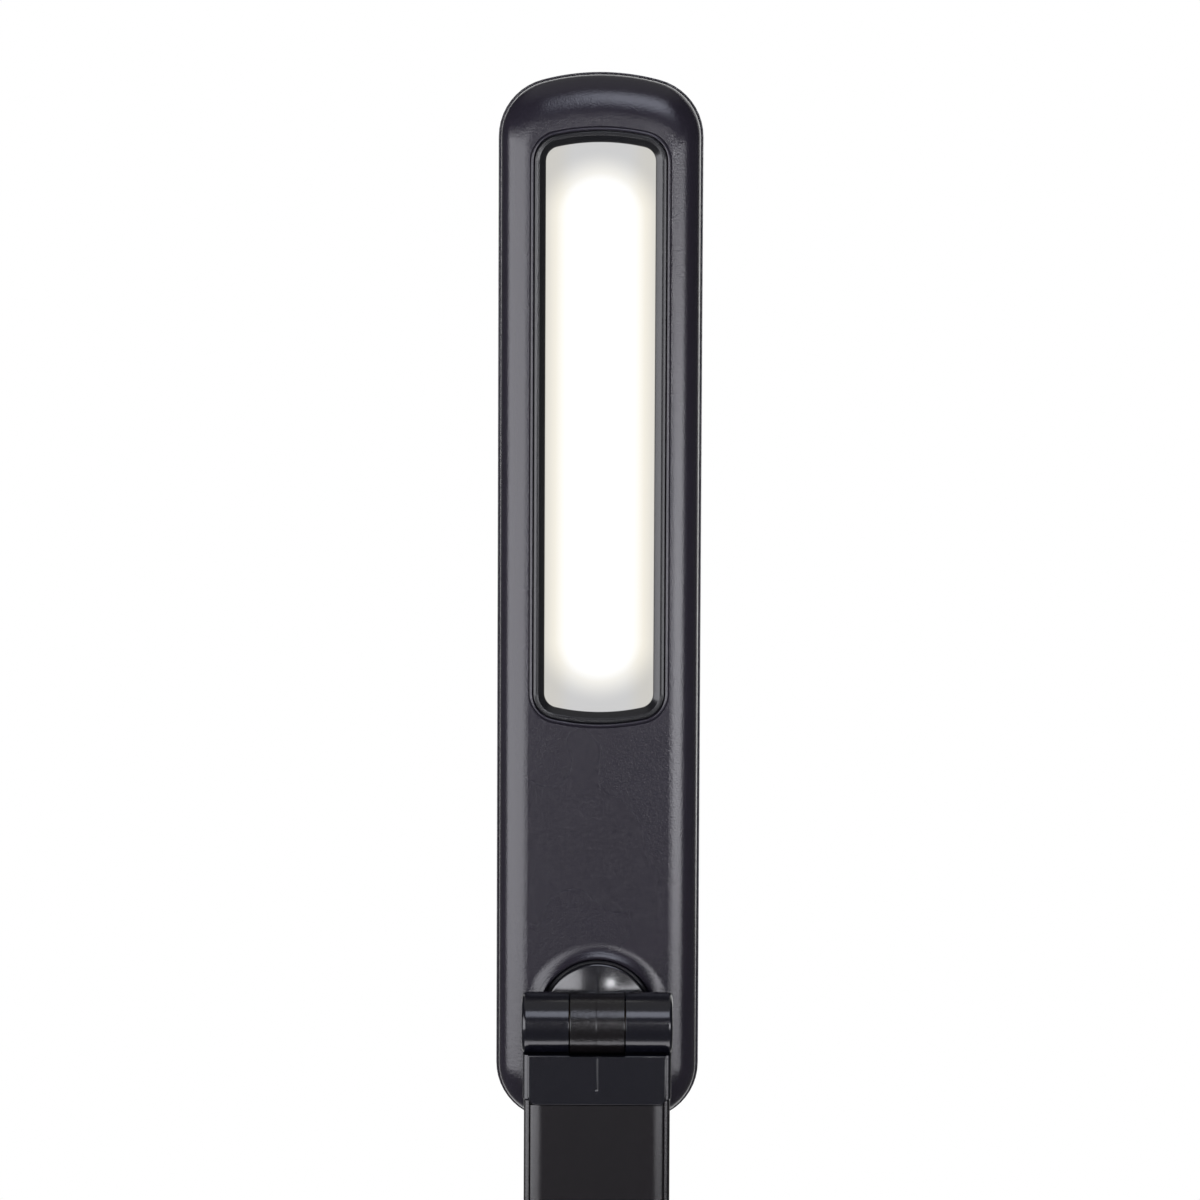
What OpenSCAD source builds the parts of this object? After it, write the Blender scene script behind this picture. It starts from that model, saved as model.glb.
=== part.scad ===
// Folding LED desk lamp: a weighted base, a flat arm on a fold hinge, and a long light
// head that tilts on a barrel hinge and swivels on a round disc.
// Upright pose: the arm stands on the base and the head continues it, light facing -Y.

/* [Head] */
// Width of the light head over its rear shell
head_w = 50; // [46:1:56]
// Reach of the head beyond the swivel centre
head_reach = 231.6; // [215:0.1:238]
// Length of the head below the swivel centre
head_tail = 28.4; // [26:0.1:32]
// Radius of the arched ends of the head
head_end_r = 55; // [45:1:90]
// Radius of the head's corners
head_corner_r = 14.3; // [13:0.1:17]
// Depth of the front shell, from its flat face to the parting line
front_d = 7; // [6.6:0.1:9]
// Depth of the rear shell, from the parting line to its flat back
back_d = 7; // [6:0.1:9]
// Width of the rounded edge of the front face
front_round_w = 7.1; // [6.5:0.1:9]
// Depth of the rounded edge of the front face
front_round_d = 6.2; // [5:0.1:6.5]
// Width of the rounded edge of the back
back_round_w = 10; // [7:0.1:11]
// Depth of the rounded edge of the back
back_round_d = 4.6; // [3.5:0.1:5.5]
// Wall of both head shells
head_wall = 2; // [1.6:0.1:2.4]
// Step by which the rear shell shows outside the front shell
head_rim = 0.6; // [0.3:0.1:1]

/* [Light window] */
// Width of the lit window
window_w = 26.7; // [22:0.1:28]
// Length of the lit window
window_len = 139.2; // [110:0.1:140]
// Distance from the swivel centre to the near end of the window
window_start = 75.3; // [65:0.1:76]
// Radius of the window's arched ends
window_end_r = 49; // [40:1:80]
// Radius of the window's corners
window_corner_r = 3.5; // [2.5:0.1:5]
// Visible width of the window frame around the window
frame_band = 2.7; // [2:0.1:3]
// Width of the sunk ledge in the front shell around the frame
ledge_band = 1; // [0.6:0.1:1.2]
// Depth of that ledge
ledge_d = 0.4; // [0.2:0.1:0.8]
// Thickness of the diffuser
diffuser_t = 1.6; // [1.2:0.1:2]
// Number of LED packages in each of the two rows
led_count = 14; // [6:1:16]
// Thickness of the LED board
led_board_t = 1.2; // [0.8:0.1:1.6]

/* [Swivel] */
// Radius of the swivel disc
disc_r = 14; // [12:0.1:14.5]
// Gap around the swivel disc
disc_gap = 0.5; // [0.3:0.1:0.7]
// Thickness of the swivel disc
disc_t = 3; // [2.4:0.1:3.4]
// Height of the raised lip around the disc
boss_h = 1; // [0.6:0.1:1.4]
// Width of the raised lip and its slope together
boss_band = 4.1; // [2.7:0.1:4.3]
// Width of the flat top of that lip
boss_lip = 0.7; // [0.4:0.1:1]
// Radius of the hub behind the disc
hub_r = 6; // [5:0.1:7]
// Radius of the wire passage in the hub
hub_bore_r = 3.2; // [2:0.1:3.5]

/* [Hinge barrels] */
// Radius of the hinge barrels
barrel_r = 7.6; // [7:0.1:8.5]
// Overall length of the barrels
barrel_len = 36.8; // [35:0.1:40]
// Length of the centre knuckle
knuckle_len = 13.4; // [11:0.1:15]
// Gap at each side of the centre knuckle
knuckle_gap = 0.2; // [0.15:0.05:0.4]
// Radius of the hinge pins
pin_r = 2.5; // [2:0.1:3]
// Radial clearance between a pin and the centre knuckle
pin_clear = 0.05; // [0.02:0.01:0.1]
// Clearance between a barrel and what turns behind it
hinge_clear = 0.6; // [0.5:0.1:1]
// Height of a post's front and a cap's front below the axis, where they start under the barrel
shoulder_drop = 6.9; // [6.8:0.1:7.4]
// Distance in front of the axis at which the groove under the barrel ends
shoulder_back = 3; // [2.5:0.1:4]

/* [Arm] */
// Distance between the two hinge axes
arm_len = 255; // [250:1:320]
// Width of the arm
arm_w = 35.6; // [34:0.1:36]
// Thickness of the arm
arm_t = 13; // [12:0.1:13.6]
// Wall of the arm channel
channel_wall = 1.8; // [1.5:0.1:2.2]
// Width of each channel edge that shows beside the front cover
channel_lip = 1.35; // [1:0.05:1.6]
// Thickness of the front cover
cover_t = 2; // [1.6:0.1:2.4]
// Height of the front cover's face over the channel
cover_rise = 0.4; // [0.2:0.1:0.6]
// Amount by which the hinge caps stand out from the channel
cap_over = 0.25; // [0.1:0.05:0.4]
// Distance from a hinge axis to the end of the channel
cap_len = 18; // [16:0.5:22]
// Length of the cap's tongue inside the channel
tongue_len = 34; // [28:1:45]

/* [Base] */
// Width of the base
base_w = 120; // [110:1:150]
// Depth of the base, front to back
base_len = 200; // [190:1:240]
// Height of the base's top face over the table
base_h = 20; // [19:0.5:26]
// Radius of the arched ends of the base
base_end_r = 160; // [120:5:300]
// Radius of the base's corners
base_corner_r = 24; // [18:1:30]
// Wall of the base shell
base_wall = 2.5; // [2:0.1:3]
// Width of the base's rounded top edge
base_round_w = 10; // [6:0.5:12]
// Depth of the base's rounded top edge
base_round_d = 8; // [5:0.5:10]
// Thickness of the bottom plate
plate_t = 2.5; // [2:0.1:3]
// Height of the rubber feet under the bottom plate
foot_h = 2.5; // [2:0.1:4]
// Radius of the rubber feet
foot_r = 7; // [5:0.5:8]
// Distance from the rear of the base forward to the hinge axes
hinge_inset = 32; // [31:1:50]
// Thickness of the steel ballast
ballast_t = 6; // [4:0.5:8]
// Half depth of the pedestal at the base
pedestal_foot = 11; // [10:0.5:12]

/* [Controls] */
// Distance from the front of the base to the row of buttons
button_inset = 30; // [28:1:34]
// Spacing of the buttons
button_pitch = 22; // [20:0.5:24]
// Radius of the power button
power_r = 7; // [6:0.5:8]
// Radius of the two brightness buttons
dim_r = 5.5; // [5:0.5:7]
// Travel of the buttons
button_travel = 0.8; // [0.5:0.1:0.8]
// Height of the buttons over the sunk panel
button_rise = 0.6; // [0.3:0.1:1]
// Depth of the sunk control panel
panel_d = 0.8; // [0.5:0.1:1.2]
// Radius of the power socket's bore
socket_r = 2.85; // [2.8:0.05:3]
// Radius of the power socket's centre pin
socket_pin_r = 1.05; // [0.8:0.05:1.2]

/* [Hidden] */
$fn = 64;

// Steps in the arcs of an outline and in a rounded edge
corner_steps = 6;
end_steps = 12;
round_steps = 8;

// Heights of the base, from the table up
plate_z = foot_h;
floor_z = plate_z + plate_t;
shell_z = plate_z + 0.5;
roof_z = base_h - base_wall;

// The arm's front and rear faces, measured from the hinge axes
arm_front = arm_t / 2 + cover_rise;
arm_rear = arm_t / 2 + cap_over;
cap_w = arm_w + 2 * cap_over;

// From the tilt axis to the lip round the disc, and to the head's flat face
lip_off = max(barrel_r, arm_front, arm_rear) + hinge_clear;
face_off = lip_off + boss_h;
head_d = front_d + back_d;

// Both hinge axes. The pedestal lets the folded head lie between the arm and the base.
fold_clear = 1.5;
lower_z = base_h + fold_clear + head_d + face_off;
upper_z = lower_z + arm_len;
slot_r = barrel_r + hinge_clear + 0.2;
slot_half = knuckle_len / 2 + knuckle_gap;
knuckle_neck = 1.7 * barrel_r;
slot_low = knuckle_neck / 2 + hinge_clear + 0.15;
exit_z = pin_r + 2.6;

// Swivel stack, as depths behind the head's flat face
disc_top = boss_h - 0.2;
disc_back = disc_top - disc_t;
seat_clear = 0.1;
seat_z = disc_back - seat_clear;
seat_t = 2;
bore_r = disc_r + disc_gap;
hub_hole_r = hub_r + 0.08;
washer_t = 0.5;
clip_z = seat_z - seat_t - washer_t - 2 * seat_clear;
clip_t = 0.8;
clip_groove = 0.9;
hub_end = clip_z - clip_t - 1.4;

// Light engine, as depths behind the head's flat face
frame_top = -0.1;
frame_lip_z = frame_top - 1.5;
frame_back = -head_wall - 1.3;
frame_flange = frame_band + 1;
part_clear = 0.15;
rabbet = 1.3;
diffuser_z = frame_lip_z - 0.05;
tray_top = diffuser_z - diffuser_t - 0.05;
tray_wall = 1.2;
tray_floor = tray_top - 5;
tray_bottom = tray_floor - tray_wall;
window_end = window_start + window_len;
post_off = frame_flange + 3.2;
post_x = window_w * 0.3;
post_r = 2.1;
post_z = tray_bottom + tray_wall;
led_size = [2.8, 3.5, 0.7];
led_row_x = window_w / 5;

// Fasteners
screw_r = 1.2;
screw_head_r = 2.2;
screw_head_h = 1.2;
screw_slack = 0.2;
tray_screw_bite = 3.2;
base_screw_len = 7;
board_screw_bite = 2.5;
flange_screw_bite = 1.5;

// Base fittings
hinge_y = base_len / 2 - hinge_inset;
button_y = -base_len / 2 + button_inset;
board_size = [2 * button_pitch + 28, 26, 1.6];
board_z = floor_z + 3;
switch_size = [6, 6, 3.4];
switch_top = board_z + board_size[2] + switch_size[2];
plunger_h = 0.4;
stem_z = switch_top + plunger_h + button_travel + 0.05;
flange_t = 1;
flange_z = roof_z - 0.2 - flange_t;
panel_z = base_h - panel_d;
button_z = panel_z + button_rise;
post_inset = 12;
base_post_r = 4;
base_screw_z = plate_z + screw_head_h + screw_slack;
base_posts = [for (sx = [-1, 1], sy = [-1, 1])
    [sx * (base_w / 2 - post_inset), sy * (base_len / 2 - 40)]];
foot_inset = 17;
feet = [for (sx = [-1, 1], sy = [-1, 1])
    [sx * (base_w / 2 - foot_inset), sy * (base_len / 2 - foot_inset - 4)]];
ballast_w = base_w - 2 * (post_inset + base_post_r + 3);
pedestal_flange = [cap_w + 12, 2 * pedestal_foot + 6, 2.5];
ballast_corner = 6;
ballast_y0 = button_y + board_size[1] / 2 + 6;
ballast_y1 = hinge_y - pedestal_flange[1] / 2 - 4;
jack_size = [9, 11, 9.5];
jack_nose_r = 4;
jack_y = base_len / 2 - 0.5;
jack_z = floor_z + 5;
jack_nose = 3.5;
jack_bore = 9.5;

// Points of an arc round [cx, cy], from angle a0 to a1
function arc(cx, cy, r, a0, a1, n) =
    [for (i = [0 : n]) let (a = a0 + (a1 - a0) * i / n) [cx + r * cos(a), cy + r * sin(a)]];

// The list without its first and last points
function inner(p) = [for (i = [1 : len(p) - 2]) p[i]];

// A long outline with arched ends: half width w, from y0 to y1, end radius re,
// corner radius rc, grown by g on every side
function arched(w, y0, y1, re, rc, g = 0) =
    let (
        k = sqrt(pow(re - rc, 2) - pow(w - rc, 2)),
        a = atan2(k, w - rc)
    )
    concat(
        arc(w - rc, y1 - re + k, rc + g, 0, a, corner_steps),
        inner(arc(0, y1 - re, re + g, a, 180 - a, end_steps)),
        arc(rc - w, y1 - re + k, rc + g, 180 - a, 180, corner_steps),
        arc(rc - w, y0 + re - k, rc + g, 180, 180 + a, corner_steps),
        inner(arc(0, y0 + re, re + g, 180 + a, 360 - a, end_steps)),
        arc(w - rc, y0 + re - k, rc + g, 360 - a, 360, corner_steps)
    );

function head_line(g) = arched(head_w / 2, -head_tail, head_reach, head_end_r, head_corner_r, g);

function window_line(g) =
    arched(window_w / 2, window_start, window_end, window_end_r, window_corner_r, g);

function base_line(g) =
    arched(base_w / 2, -base_len / 2, base_len / 2, base_end_r, base_corner_r, g);

// A rectangle from y0 to y1 with radius r0 at its two y0 corners and r1 at the others
function plate_line(w, y0, y1, r0, r1) = concat(
    arc(w / 2 - r1, y1 - r1, r1, 0, 90, corner_steps),
    arc(r1 - w / 2, y1 - r1, r1, 90, 180, corner_steps),
    arc(r0 - w / 2, y0 + r0, r0, 180, 270, corner_steps),
    arc(w / 2 - r0, y0 + r0, r0, 270, 360, corner_steps)
);

// Faces between section k and section j of a loft whose sections have n points
function band_faces(k, j, n) = [
    for (i = [0 : n - 1]) let (a = k * n + i, b = k * n + (i + 1) % n, c = j * n + (i + 1) % n, d = j * n + i)
        each [[a, d, c], [a, c, b]]
];

// A solid through sections [points, z] in rising order
module loft(sections) {
    n = len(sections[0][0]);
    m = len(sections);
    polyhedron(
        points = [for (s = sections) for (p = s[0]) [p[0], p[1], s[1]]],
        faces = concat(
            [[for (i = [0 : n - 1]) i]],
            [for (k = [0 : m - 2]) each band_faces(k, k + 1, n)],
            [[for (i = [n - 1 : -1 : 0]) (m - 1) * n + i]]
        )
    );
}

// A closed ring through sections [points, z] that run up outside and down inside
module ring_loft(sections) {
    n = len(sections[0][0]);
    m = len(sections);
    polyhedron(
        points = [for (s = sections) for (p = s[0]) [p[0], p[1], s[1]]],
        faces = [for (k = [0 : m - 1]) each band_faces(k, (k + 1) % m, n)]
    );
}

// Sections of a rounded quarter edge, rw wide and rd deep, below z = 0
function edge_sections(inset, rw, rd, drop) =
    [for (i = [0 : round_steps]) let (t = 90 * i / round_steps)
        [inset + rw * (1 - cos(t)), -drop - rd * (1 - sin(t))]];

module prism(points, z0, z1) {
    translate([0, 0, z0])
        linear_extrude(z1 - z0)
            polygon(points);
}

module outline_ring(outer, hole, z0, z1) {
    difference() {
        prism(outer, z0, z1);
        prism(hole, z0 - 1, z1 + 1);
    }
}

// A round bar along X from x0 to x1
module bar_x(r, x0, x1) {
    translate([x0, 0, 0])
        rotate([0, 90, 0])
            cylinder(r = r, h = x1 - x0);
}

// Head parts are drawn lying flat: X across, Y along the head, Z out of the lit face
module on_head() {
    translate([0, hinge_y + face_off, upper_z])
        rotate([90, 0, 0])
            children();
}

module at_upper() {
    translate([0, hinge_y, upper_z]) children();
}

module at_lower() {
    translate([0, hinge_y, lower_z]) children();
}

// A pan head screw: the head sits on z = 0, the shank points down
module screw(length) {
    difference() {
        union() {
            cylinder(r = screw_head_r, h = screw_head_h);
            translate([0, 0, -length])
                cylinder(r = screw_r, h = length);
        }
        for (a = [0, 90])
            rotate([0, 0, a])
                translate([-screw_r, -0.3, screw_head_h / 2])
                    cube([2 * screw_r, 0.6, screw_head_h]);
    }
}

// HEAD

function shell_sections(inset, rw, rd, drop, depth) = concat(
    [[head_line(-inset), -depth]],
    [for (e = edge_sections(inset, rw, rd, drop)) [head_line(-e[0]), e[1]]]
);

tray_posts = [for (sx = [-1, 1], y = [window_start - post_off, window_end + post_off])
    [sx * post_x, y]];

module head_front_shell() {
    inside = head_rim + head_wall;
    boss_r = bore_r + boss_band;
    lip_r = bore_r + boss_lip;
    slope = [for (i = [0 : 6]) let (s = i / 6)
        [lip_r + (boss_r - lip_r) * s, boss_h * (1 + cos(180 * s)) / 2]];
    color([0.2, 0.2, 0.23])
    on_head()
    difference() {
        union() {
            difference() {
                loft(shell_sections(head_rim, front_round_w, front_round_d, 0, front_d));
                loft(shell_sections(inside, front_round_w - head_wall,
                    front_round_d - head_wall, head_wall, front_d + 1));
            }
            rotate_extrude()
                polygon(concat([[disc_r - 1, -head_wall / 2], [disc_r - 1, boss_h]], slope,
                    [[boss_r, -head_wall / 2]]));
            translate([0, 0, seat_z - seat_t])
                cylinder(r = bore_r + 2, h = -seat_z + seat_t - head_wall / 2);
            for (p = tray_posts)
                translate([p[0], p[1], post_z])
                    cylinder(r = post_r, h = -post_z - head_wall / 2);
        }
        translate([0, 0, seat_z])
            cylinder(r = bore_r, h = 10);
        cylinder(r = hub_hole_r, h = 30, center = true);
        prism(window_line(frame_band + part_clear), -front_d, 1);
        prism(window_line(frame_band + ledge_band + part_clear), -ledge_d, 1);
        // pocket for the frame's flange, where the inside of the shell curves down
        prism(window_line(frame_flange + part_clear), -front_d, -head_wall);
        for (p = tray_posts)
            translate([p[0], p[1], post_z - 1])
                cylinder(r = screw_r, h = 1 + tray_screw_bite + screw_slack);
    }
}

module head_rear_shell() {
    inside = head_wall;
    lip_in = head_rim + head_wall + part_clear;
    color([0.17, 0.17, 0.19])
    on_head()
    translate([0, 0, -front_d]) {
        mirror([0, 0, 1])
        difference() {
            translate([0, 0, back_d])
                loft(shell_sections(0, back_round_w, back_round_d, 0, back_d));
            translate([0, 0, back_d])
                loft(shell_sections(inside, back_round_w - head_wall,
                    back_round_d - head_wall, head_wall, back_d + 1));
        }
        outline_ring(head_line(-head_wall / 2), head_line(-lip_in - 1), -2.2, -part_clear);
        outline_ring(head_line(-lip_in), head_line(-lip_in - 1), -1, front_d - front_round_d + 0.6);
    }
}

module window_frame() {
    r = 0.35;
    sections = concat(
        [[window_line(frame_flange), frame_back], [window_line(frame_flange), -head_wall - 0.1],
         [window_line(frame_band), -head_wall - 0.1], [window_line(frame_band), frame_top - r]],
        [for (i = [1 : 3]) [window_line(frame_band - r * (1 - cos(30 * i))), frame_top - r * (1 - sin(30 * i))]],
        [[window_line(1.5), frame_top], [window_line(0.2), frame_top - 1.2],
         [window_line(0), frame_lip_z + 0.1], [window_line(0), frame_lip_z],
         [window_line(rabbet), frame_lip_z], [window_line(rabbet), frame_back]]
    );
    color([0.11, 0.11, 0.12])
    on_head()
        ring_loft(sections);
}

module diffuser() {
    color([0.96, 0.96, 0.93])
    on_head()
        prism(window_line(rabbet - part_clear), diffuser_z - diffuser_t, diffuser_z);
}

module reflector_tray() {
    color([0.93, 0.93, 0.92])
    on_head()
    difference() {
        union() {
            prism(window_line(rabbet - part_clear), tray_bottom, tray_top);
            for (p = tray_posts) {
                translate([p[0], p[1], tray_bottom])
                    cylinder(r = post_r + 0.4, h = tray_wall);
                translate([p[0] - post_r, p[1] < window_start ? p[1] : window_end, tray_bottom])
                    cube([2 * post_r, post_off, tray_wall]);
            }
        }
        prism(window_line(rabbet - part_clear - tray_wall), tray_floor, tray_top + 1);
        for (p = tray_posts)
            translate([p[0], p[1], tray_bottom - 1])
                cylinder(r = screw_r + 0.1, h = tray_wall + 2);
    }
}

module tray_screws() {
    color([0.7, 0.7, 0.72])
    on_head()
        for (p = tray_posts)
            translate([p[0], p[1], tray_bottom])
                mirror([0, 0, 1])
                    screw(tray_wall + tray_screw_bite);
}

module led_board() {
    color([0.8, 0.8, 0.82])
    on_head()
        translate([-window_w / 2 + 2, window_start + 2, tray_floor])
            cube([window_w - 4, window_len - 4, led_board_t]);
}

module led_chips() {
    pitch = (window_len - 20) / (led_count - 1);
    color([0.95, 0.9, 0.6])
    on_head()
        for (sx = [-1, 1], i = [0 : led_count - 1])
            translate([sx * led_row_x - led_size[0] / 2,
                    window_start + 10 + i * pitch - led_size[1] / 2, tray_floor + led_board_t])
                cube(led_size);
}

module head_wires() {
    wire_r = 0.6;
    color([0.75, 0.1, 0.1])
    on_head()
        for (sx = [-1, 1])
            translate([sx * (wire_r + 0.05), 0, -head_d + head_wall + wire_r + 0.05])
                rotate([-90, 0, 0])
                    cylinder(r = wire_r, h = window_start + 4);
}

// SWIVEL KNUCKLE

module swivel_knuckle() {
    neck_h = knuckle_neck;
    bevel = 1.9;
    color([0.12, 0.12, 0.13])
    on_head()
    difference() {
        union() {
            // disc with a broad bevel, hub and its clip groove in one turned profile
            rotate_extrude()
                polygon([[0, hub_end], [hub_r, hub_end], [hub_r, clip_z - clip_t - 0.05],
                    [hub_r - clip_groove, clip_z - clip_t - 0.05], [hub_r - clip_groove, clip_z + 0.05],
                    [hub_r, clip_z + 0.05], [hub_r, disc_back], [disc_r, disc_back],
                    [disc_r, disc_top - 0.8], [disc_r - 0.25, disc_top - 0.5],
                    [disc_r - bevel, disc_top], [0, disc_top]]);
            translate([-knuckle_len / 2, -neck_h / 2, disc_top - 1])
                cube([knuckle_len, neck_h, face_off - disc_top + 1]);
            translate([0, 0, face_off])
                bar_x(barrel_r, -knuckle_len / 2, knuckle_len / 2);
        }
        translate([0, 0, face_off])
            bar_x(pin_r + pin_clear, -barrel_len, barrel_len);
        translate([0, 0, hub_end - 1])
            cylinder(r = hub_bore_r, h = face_off - exit_z - hub_end + 1);
        translate([0, 0, face_off])
            mirror([0, 0, 1])
                neck_passage(exit_z, -1);
    }
}

module swivel_washer() {
    color([0.75, 0.75, 0.77])
    on_head()
        translate([0, 0, clip_z + seat_clear])
            difference() {
                cylinder(r = hub_r + 3, h = washer_t);
                translate([0, 0, -1])
                    cylinder(r = hub_r + 0.15, h = washer_t + 2);
            }
}

module swivel_clip() {
    gap = 50;
    color([0.6, 0.6, 0.62])
    on_head()
        rotate([0, 0, -90 + gap / 2])
            rotate_extrude(angle = 360 - gap)
                translate([hub_r - clip_groove + 0.02, clip_z - clip_t])
                    square([clip_groove + 2, clip_t]);
}

// HINGES

// One outer knuckle on the +X side, with rounded end, pin bore and cover seat
module outer_knuckle() {
    round = 1;
    seat = 2;
    half = barrel_len / 2;
    difference() {
        rotate([0, 90, 0])
            rotate_extrude()
                polygon(concat([[0, slot_half], [barrel_r, slot_half]],
                    arc(barrel_r - round, half - round, round, 0, 90, 4), [[0, half]]));
        bar_x(pin_r, 0, half + 1);
        bar_x(pin_cover_r, half - seat, half + 1);
        bar_x(friction_r, slot_half - 1, slot_half + friction_seat);
    }
}

pin_cover_r = pin_r + 1.6;
friction_r = pin_r + 2.8;
friction_seat = 0.8;
pin_half = barrel_len / 2 - 2;

module outer_knuckles() {
    outer_knuckle();
    mirror([1, 0, 0]) outer_knuckle();
}

module hinge_pin() {
    color([0.72, 0.72, 0.74])
        bar_x(pin_r, -pin_half, pin_half);
}

// Round covers that close the barrel ends over the pin
module pin_covers() {
    color([0.1, 0.1, 0.11])
        for (side = [0, 1])
            mirror([side, 0, 0])
                bar_x(pin_cover_r, pin_half, barrel_len / 2);
}

// Friction washers seated in the outer knuckles, against the centre knuckle
module friction_washers() {
    color([0.78, 0.76, 0.7])
        for (side = [0, 1])
            mirror([side, 0, 0])
                difference() {
                    bar_x(friction_r, knuckle_len / 2 + 0.05, slot_half + friction_seat);
                    bar_x(pin_r, 0, barrel_len);
                }
}

// The slot that a centre knuckle and its neck turn in, open to front and back
module knuckle_slot() {
    translate([-slot_half, -barrel_len, -slot_low])
        cube([2 * slot_half, 2 * barrel_len, 2 * slot_r]);
    bar_x(barrel_r + hinge_clear - 0.2, -slot_half, slot_half);
}

// The open groove under the barrel, so that it shows as a full round from the front
module shoulder_groove() {
    translate([-cap_w, -2 * barrel_r - shoulder_back, -shoulder_drop])
        cube([2 * cap_w, 2 * barrel_r, 2 * barrel_r]);
}

// A wire passage inside a neck that leaves it sideways, clear of the pin
module neck_passage(z, toward) {
    wide = 4;
    high = 2.8;
    translate([-wide / 2, toward < 0 ? -2 * barrel_r : -wide / 2, z])
        cube([wide, 2 * barrel_r + wide / 2, high]);
}

// ARM

cover_face = -arm_front;
cover_back = cover_face + cover_t;
channel_front = -arm_t / 2 + 0.1;
channel_back = arm_t / 2;
cavity_half = arm_w / 2 - channel_wall - 0.8;
tongue_half = cavity_half - 0.15;
tongue_front = cover_back + 0.1;
tongue_back = channel_back - channel_wall - 0.1;
cap_plate_w = cap_w - 2.4;
plate_over = 1.1;
cap_corner = 2;
cap_screws = [for (sx = [-1, 1], d = [9, tongue_len - 8]) [sx * (tongue_half - 4.5), cap_len + d]];

function cover_line(w) = let (rx = 3.2, ry = 0.8) concat(
    [[w / 2, cover_back], [-w / 2, cover_back]],
    [for (i = [0 : round_steps]) let (t = 90 * i / round_steps)
        [-w / 2 + rx * (1 - cos(t)), cover_face + ry * (1 - sin(t))]],
    [for (i = [0 : round_steps]) let (t = 90 * (1 - i / round_steps))
        [w / 2 - rx * (1 - cos(t)), cover_face + ry * (1 - sin(t))]]
);

// Body of a hinge cap hanging below its axis: block, front plate and tongue
module cap_body(top) {
    difference() {
        union() {
            prism(plate_line(cap_w, channel_front, channel_back + cap_over, 1.2, 2.6), -cap_len, top);
            intersection() {
                difference() {
                    prism(plate_line(cap_plate_w, cover_face, 0, 0.9, 0.5), -cap_len - plate_over, top);
                    // its lower edge lies on the channel's front edges
                    translate([-cap_w, channel_front - 0.05, -cap_len - arm_t])
                        cube([2 * cap_w, arm_t, arm_t]);
                }
                rotate([90, 0, 0])
                    prism(plate_line(cap_plate_w, -cap_len - plate_over, arm_t, cap_corner, cap_corner),
                        -arm_t, arm_t);
            }
            prism(plate_line(2 * tongue_half, tongue_front, tongue_back, 0.8, 1.5),
                -cap_len - tongue_len, -cap_len + 1);
        }
        translate([-5, -2, -cap_len - tongue_len - 1])
            cube([10, 4, cap_len + tongue_len + 1 - barrel_r]);
        for (p = cap_screws)
            translate([p[0], tongue_front, -p[1]])
                rotate([90, 0, 0]) {
                    translate([0, 0, -screw_head_h - 0.2])
                        cylinder(r = screw_head_r + 0.2, h = 5);
                    cylinder(r = screw_r + 0.1, h = 40, center = true);
                }
    }
}

module cap_screw_set() {
    color([0.7, 0.7, 0.72])
        for (p = cap_screws)
            translate([p[0], tongue_front + screw_head_h + 0.2, -p[1]])
                rotate([90, 0, 0])
                    screw(channel_back - tongue_front - screw_head_h - 0.8);
}

module upper_hinge_cap() {
    color([0.12, 0.12, 0.13])
    at_upper()
    difference() {
        union() {
            outer_knuckles();
            difference() {
                cap_body(0);
                shoulder_groove();
                bar_x(barrel_r - 1, -barrel_len, barrel_len);
            }
        }
        knuckle_slot();
    }
}

module lower_hinge_cap() {
    neck = 1.6 * barrel_r;
    color([0.12, 0.12, 0.13])
    at_lower()
    difference() {
        union() {
            mirror([0, 0, 1]) cap_body(-slot_r);
            translate([-knuckle_len / 2, -neck / 2, 0])
                cube([knuckle_len, neck, slot_r + 1]);
            bar_x(barrel_r, -knuckle_len / 2, knuckle_len / 2);
        }
        bar_x(pin_r + pin_clear, -barrel_len, barrel_len);
        neck_passage(exit_z, 1);
        translate([-2, -2, exit_z])
            cube([4, 4, slot_r]);
    }
}

module arm_channel() {
    z0 = lower_z + cap_len;
    z1 = upper_z - cap_len;
    color([0.22, 0.21, 0.22])
    translate([0, hinge_y, 0])
    difference() {
        prism(plate_line(arm_w, channel_front, channel_back, 1.2, 2.4), z0, z1);
        prism(plate_line(2 * cavity_half, -arm_t, channel_back - channel_wall, 0.5, 1.6), z0 - 1, z1 + 1);
        translate([-arm_w / 2 + channel_lip, -arm_t, z0 - 1])
            cube([arm_w - 2 * channel_lip, arm_t + cover_back + 0.05, z1 - z0 + 2]);
        for (p = cap_screws, z = [lower_z + p[1], upper_z - p[1]])
            translate([p[0], -1, z])
                rotate([-90, 0, 0])
                    cylinder(r = screw_r, h = channel_back + 0.4);
    }
}

module arm_front_cover() {
    gap = cap_len + plate_over + 0.1;
    color([0.14, 0.13, 0.14])
    translate([0, hinge_y, 0])
        prism(cover_line(arm_w - 2 * channel_lip - 0.3), lower_z + gap, upper_z - gap);
}

module arm_wires() {
    wire_r = 0.7;
    color([0.1, 0.1, 0.1])
    at_lower()
        for (sx = [-1, 1])
            translate([sx * (wire_r + 0.05), 1.95 - wire_r, slot_r + 1])
                cylinder(r = wire_r, h = arm_len - 2 * slot_r - 2);
}

module upper_hinge_pin() { at_upper() hinge_pin(); }
module upper_pin_covers() { at_upper() pin_covers(); }
module upper_friction_washers() { at_upper() friction_washers(); }
module upper_cap_screws() { at_upper() cap_screw_set(); }
module lower_cap_screws() { at_lower() mirror([0, 0, 1]) cap_screw_set(); }

// BASE

module lower_hinge_pin() { at_lower() hinge_pin(); }
module lower_pin_covers() { at_lower() pin_covers(); }
module lower_friction_washers() { at_lower() friction_washers(); }

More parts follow.
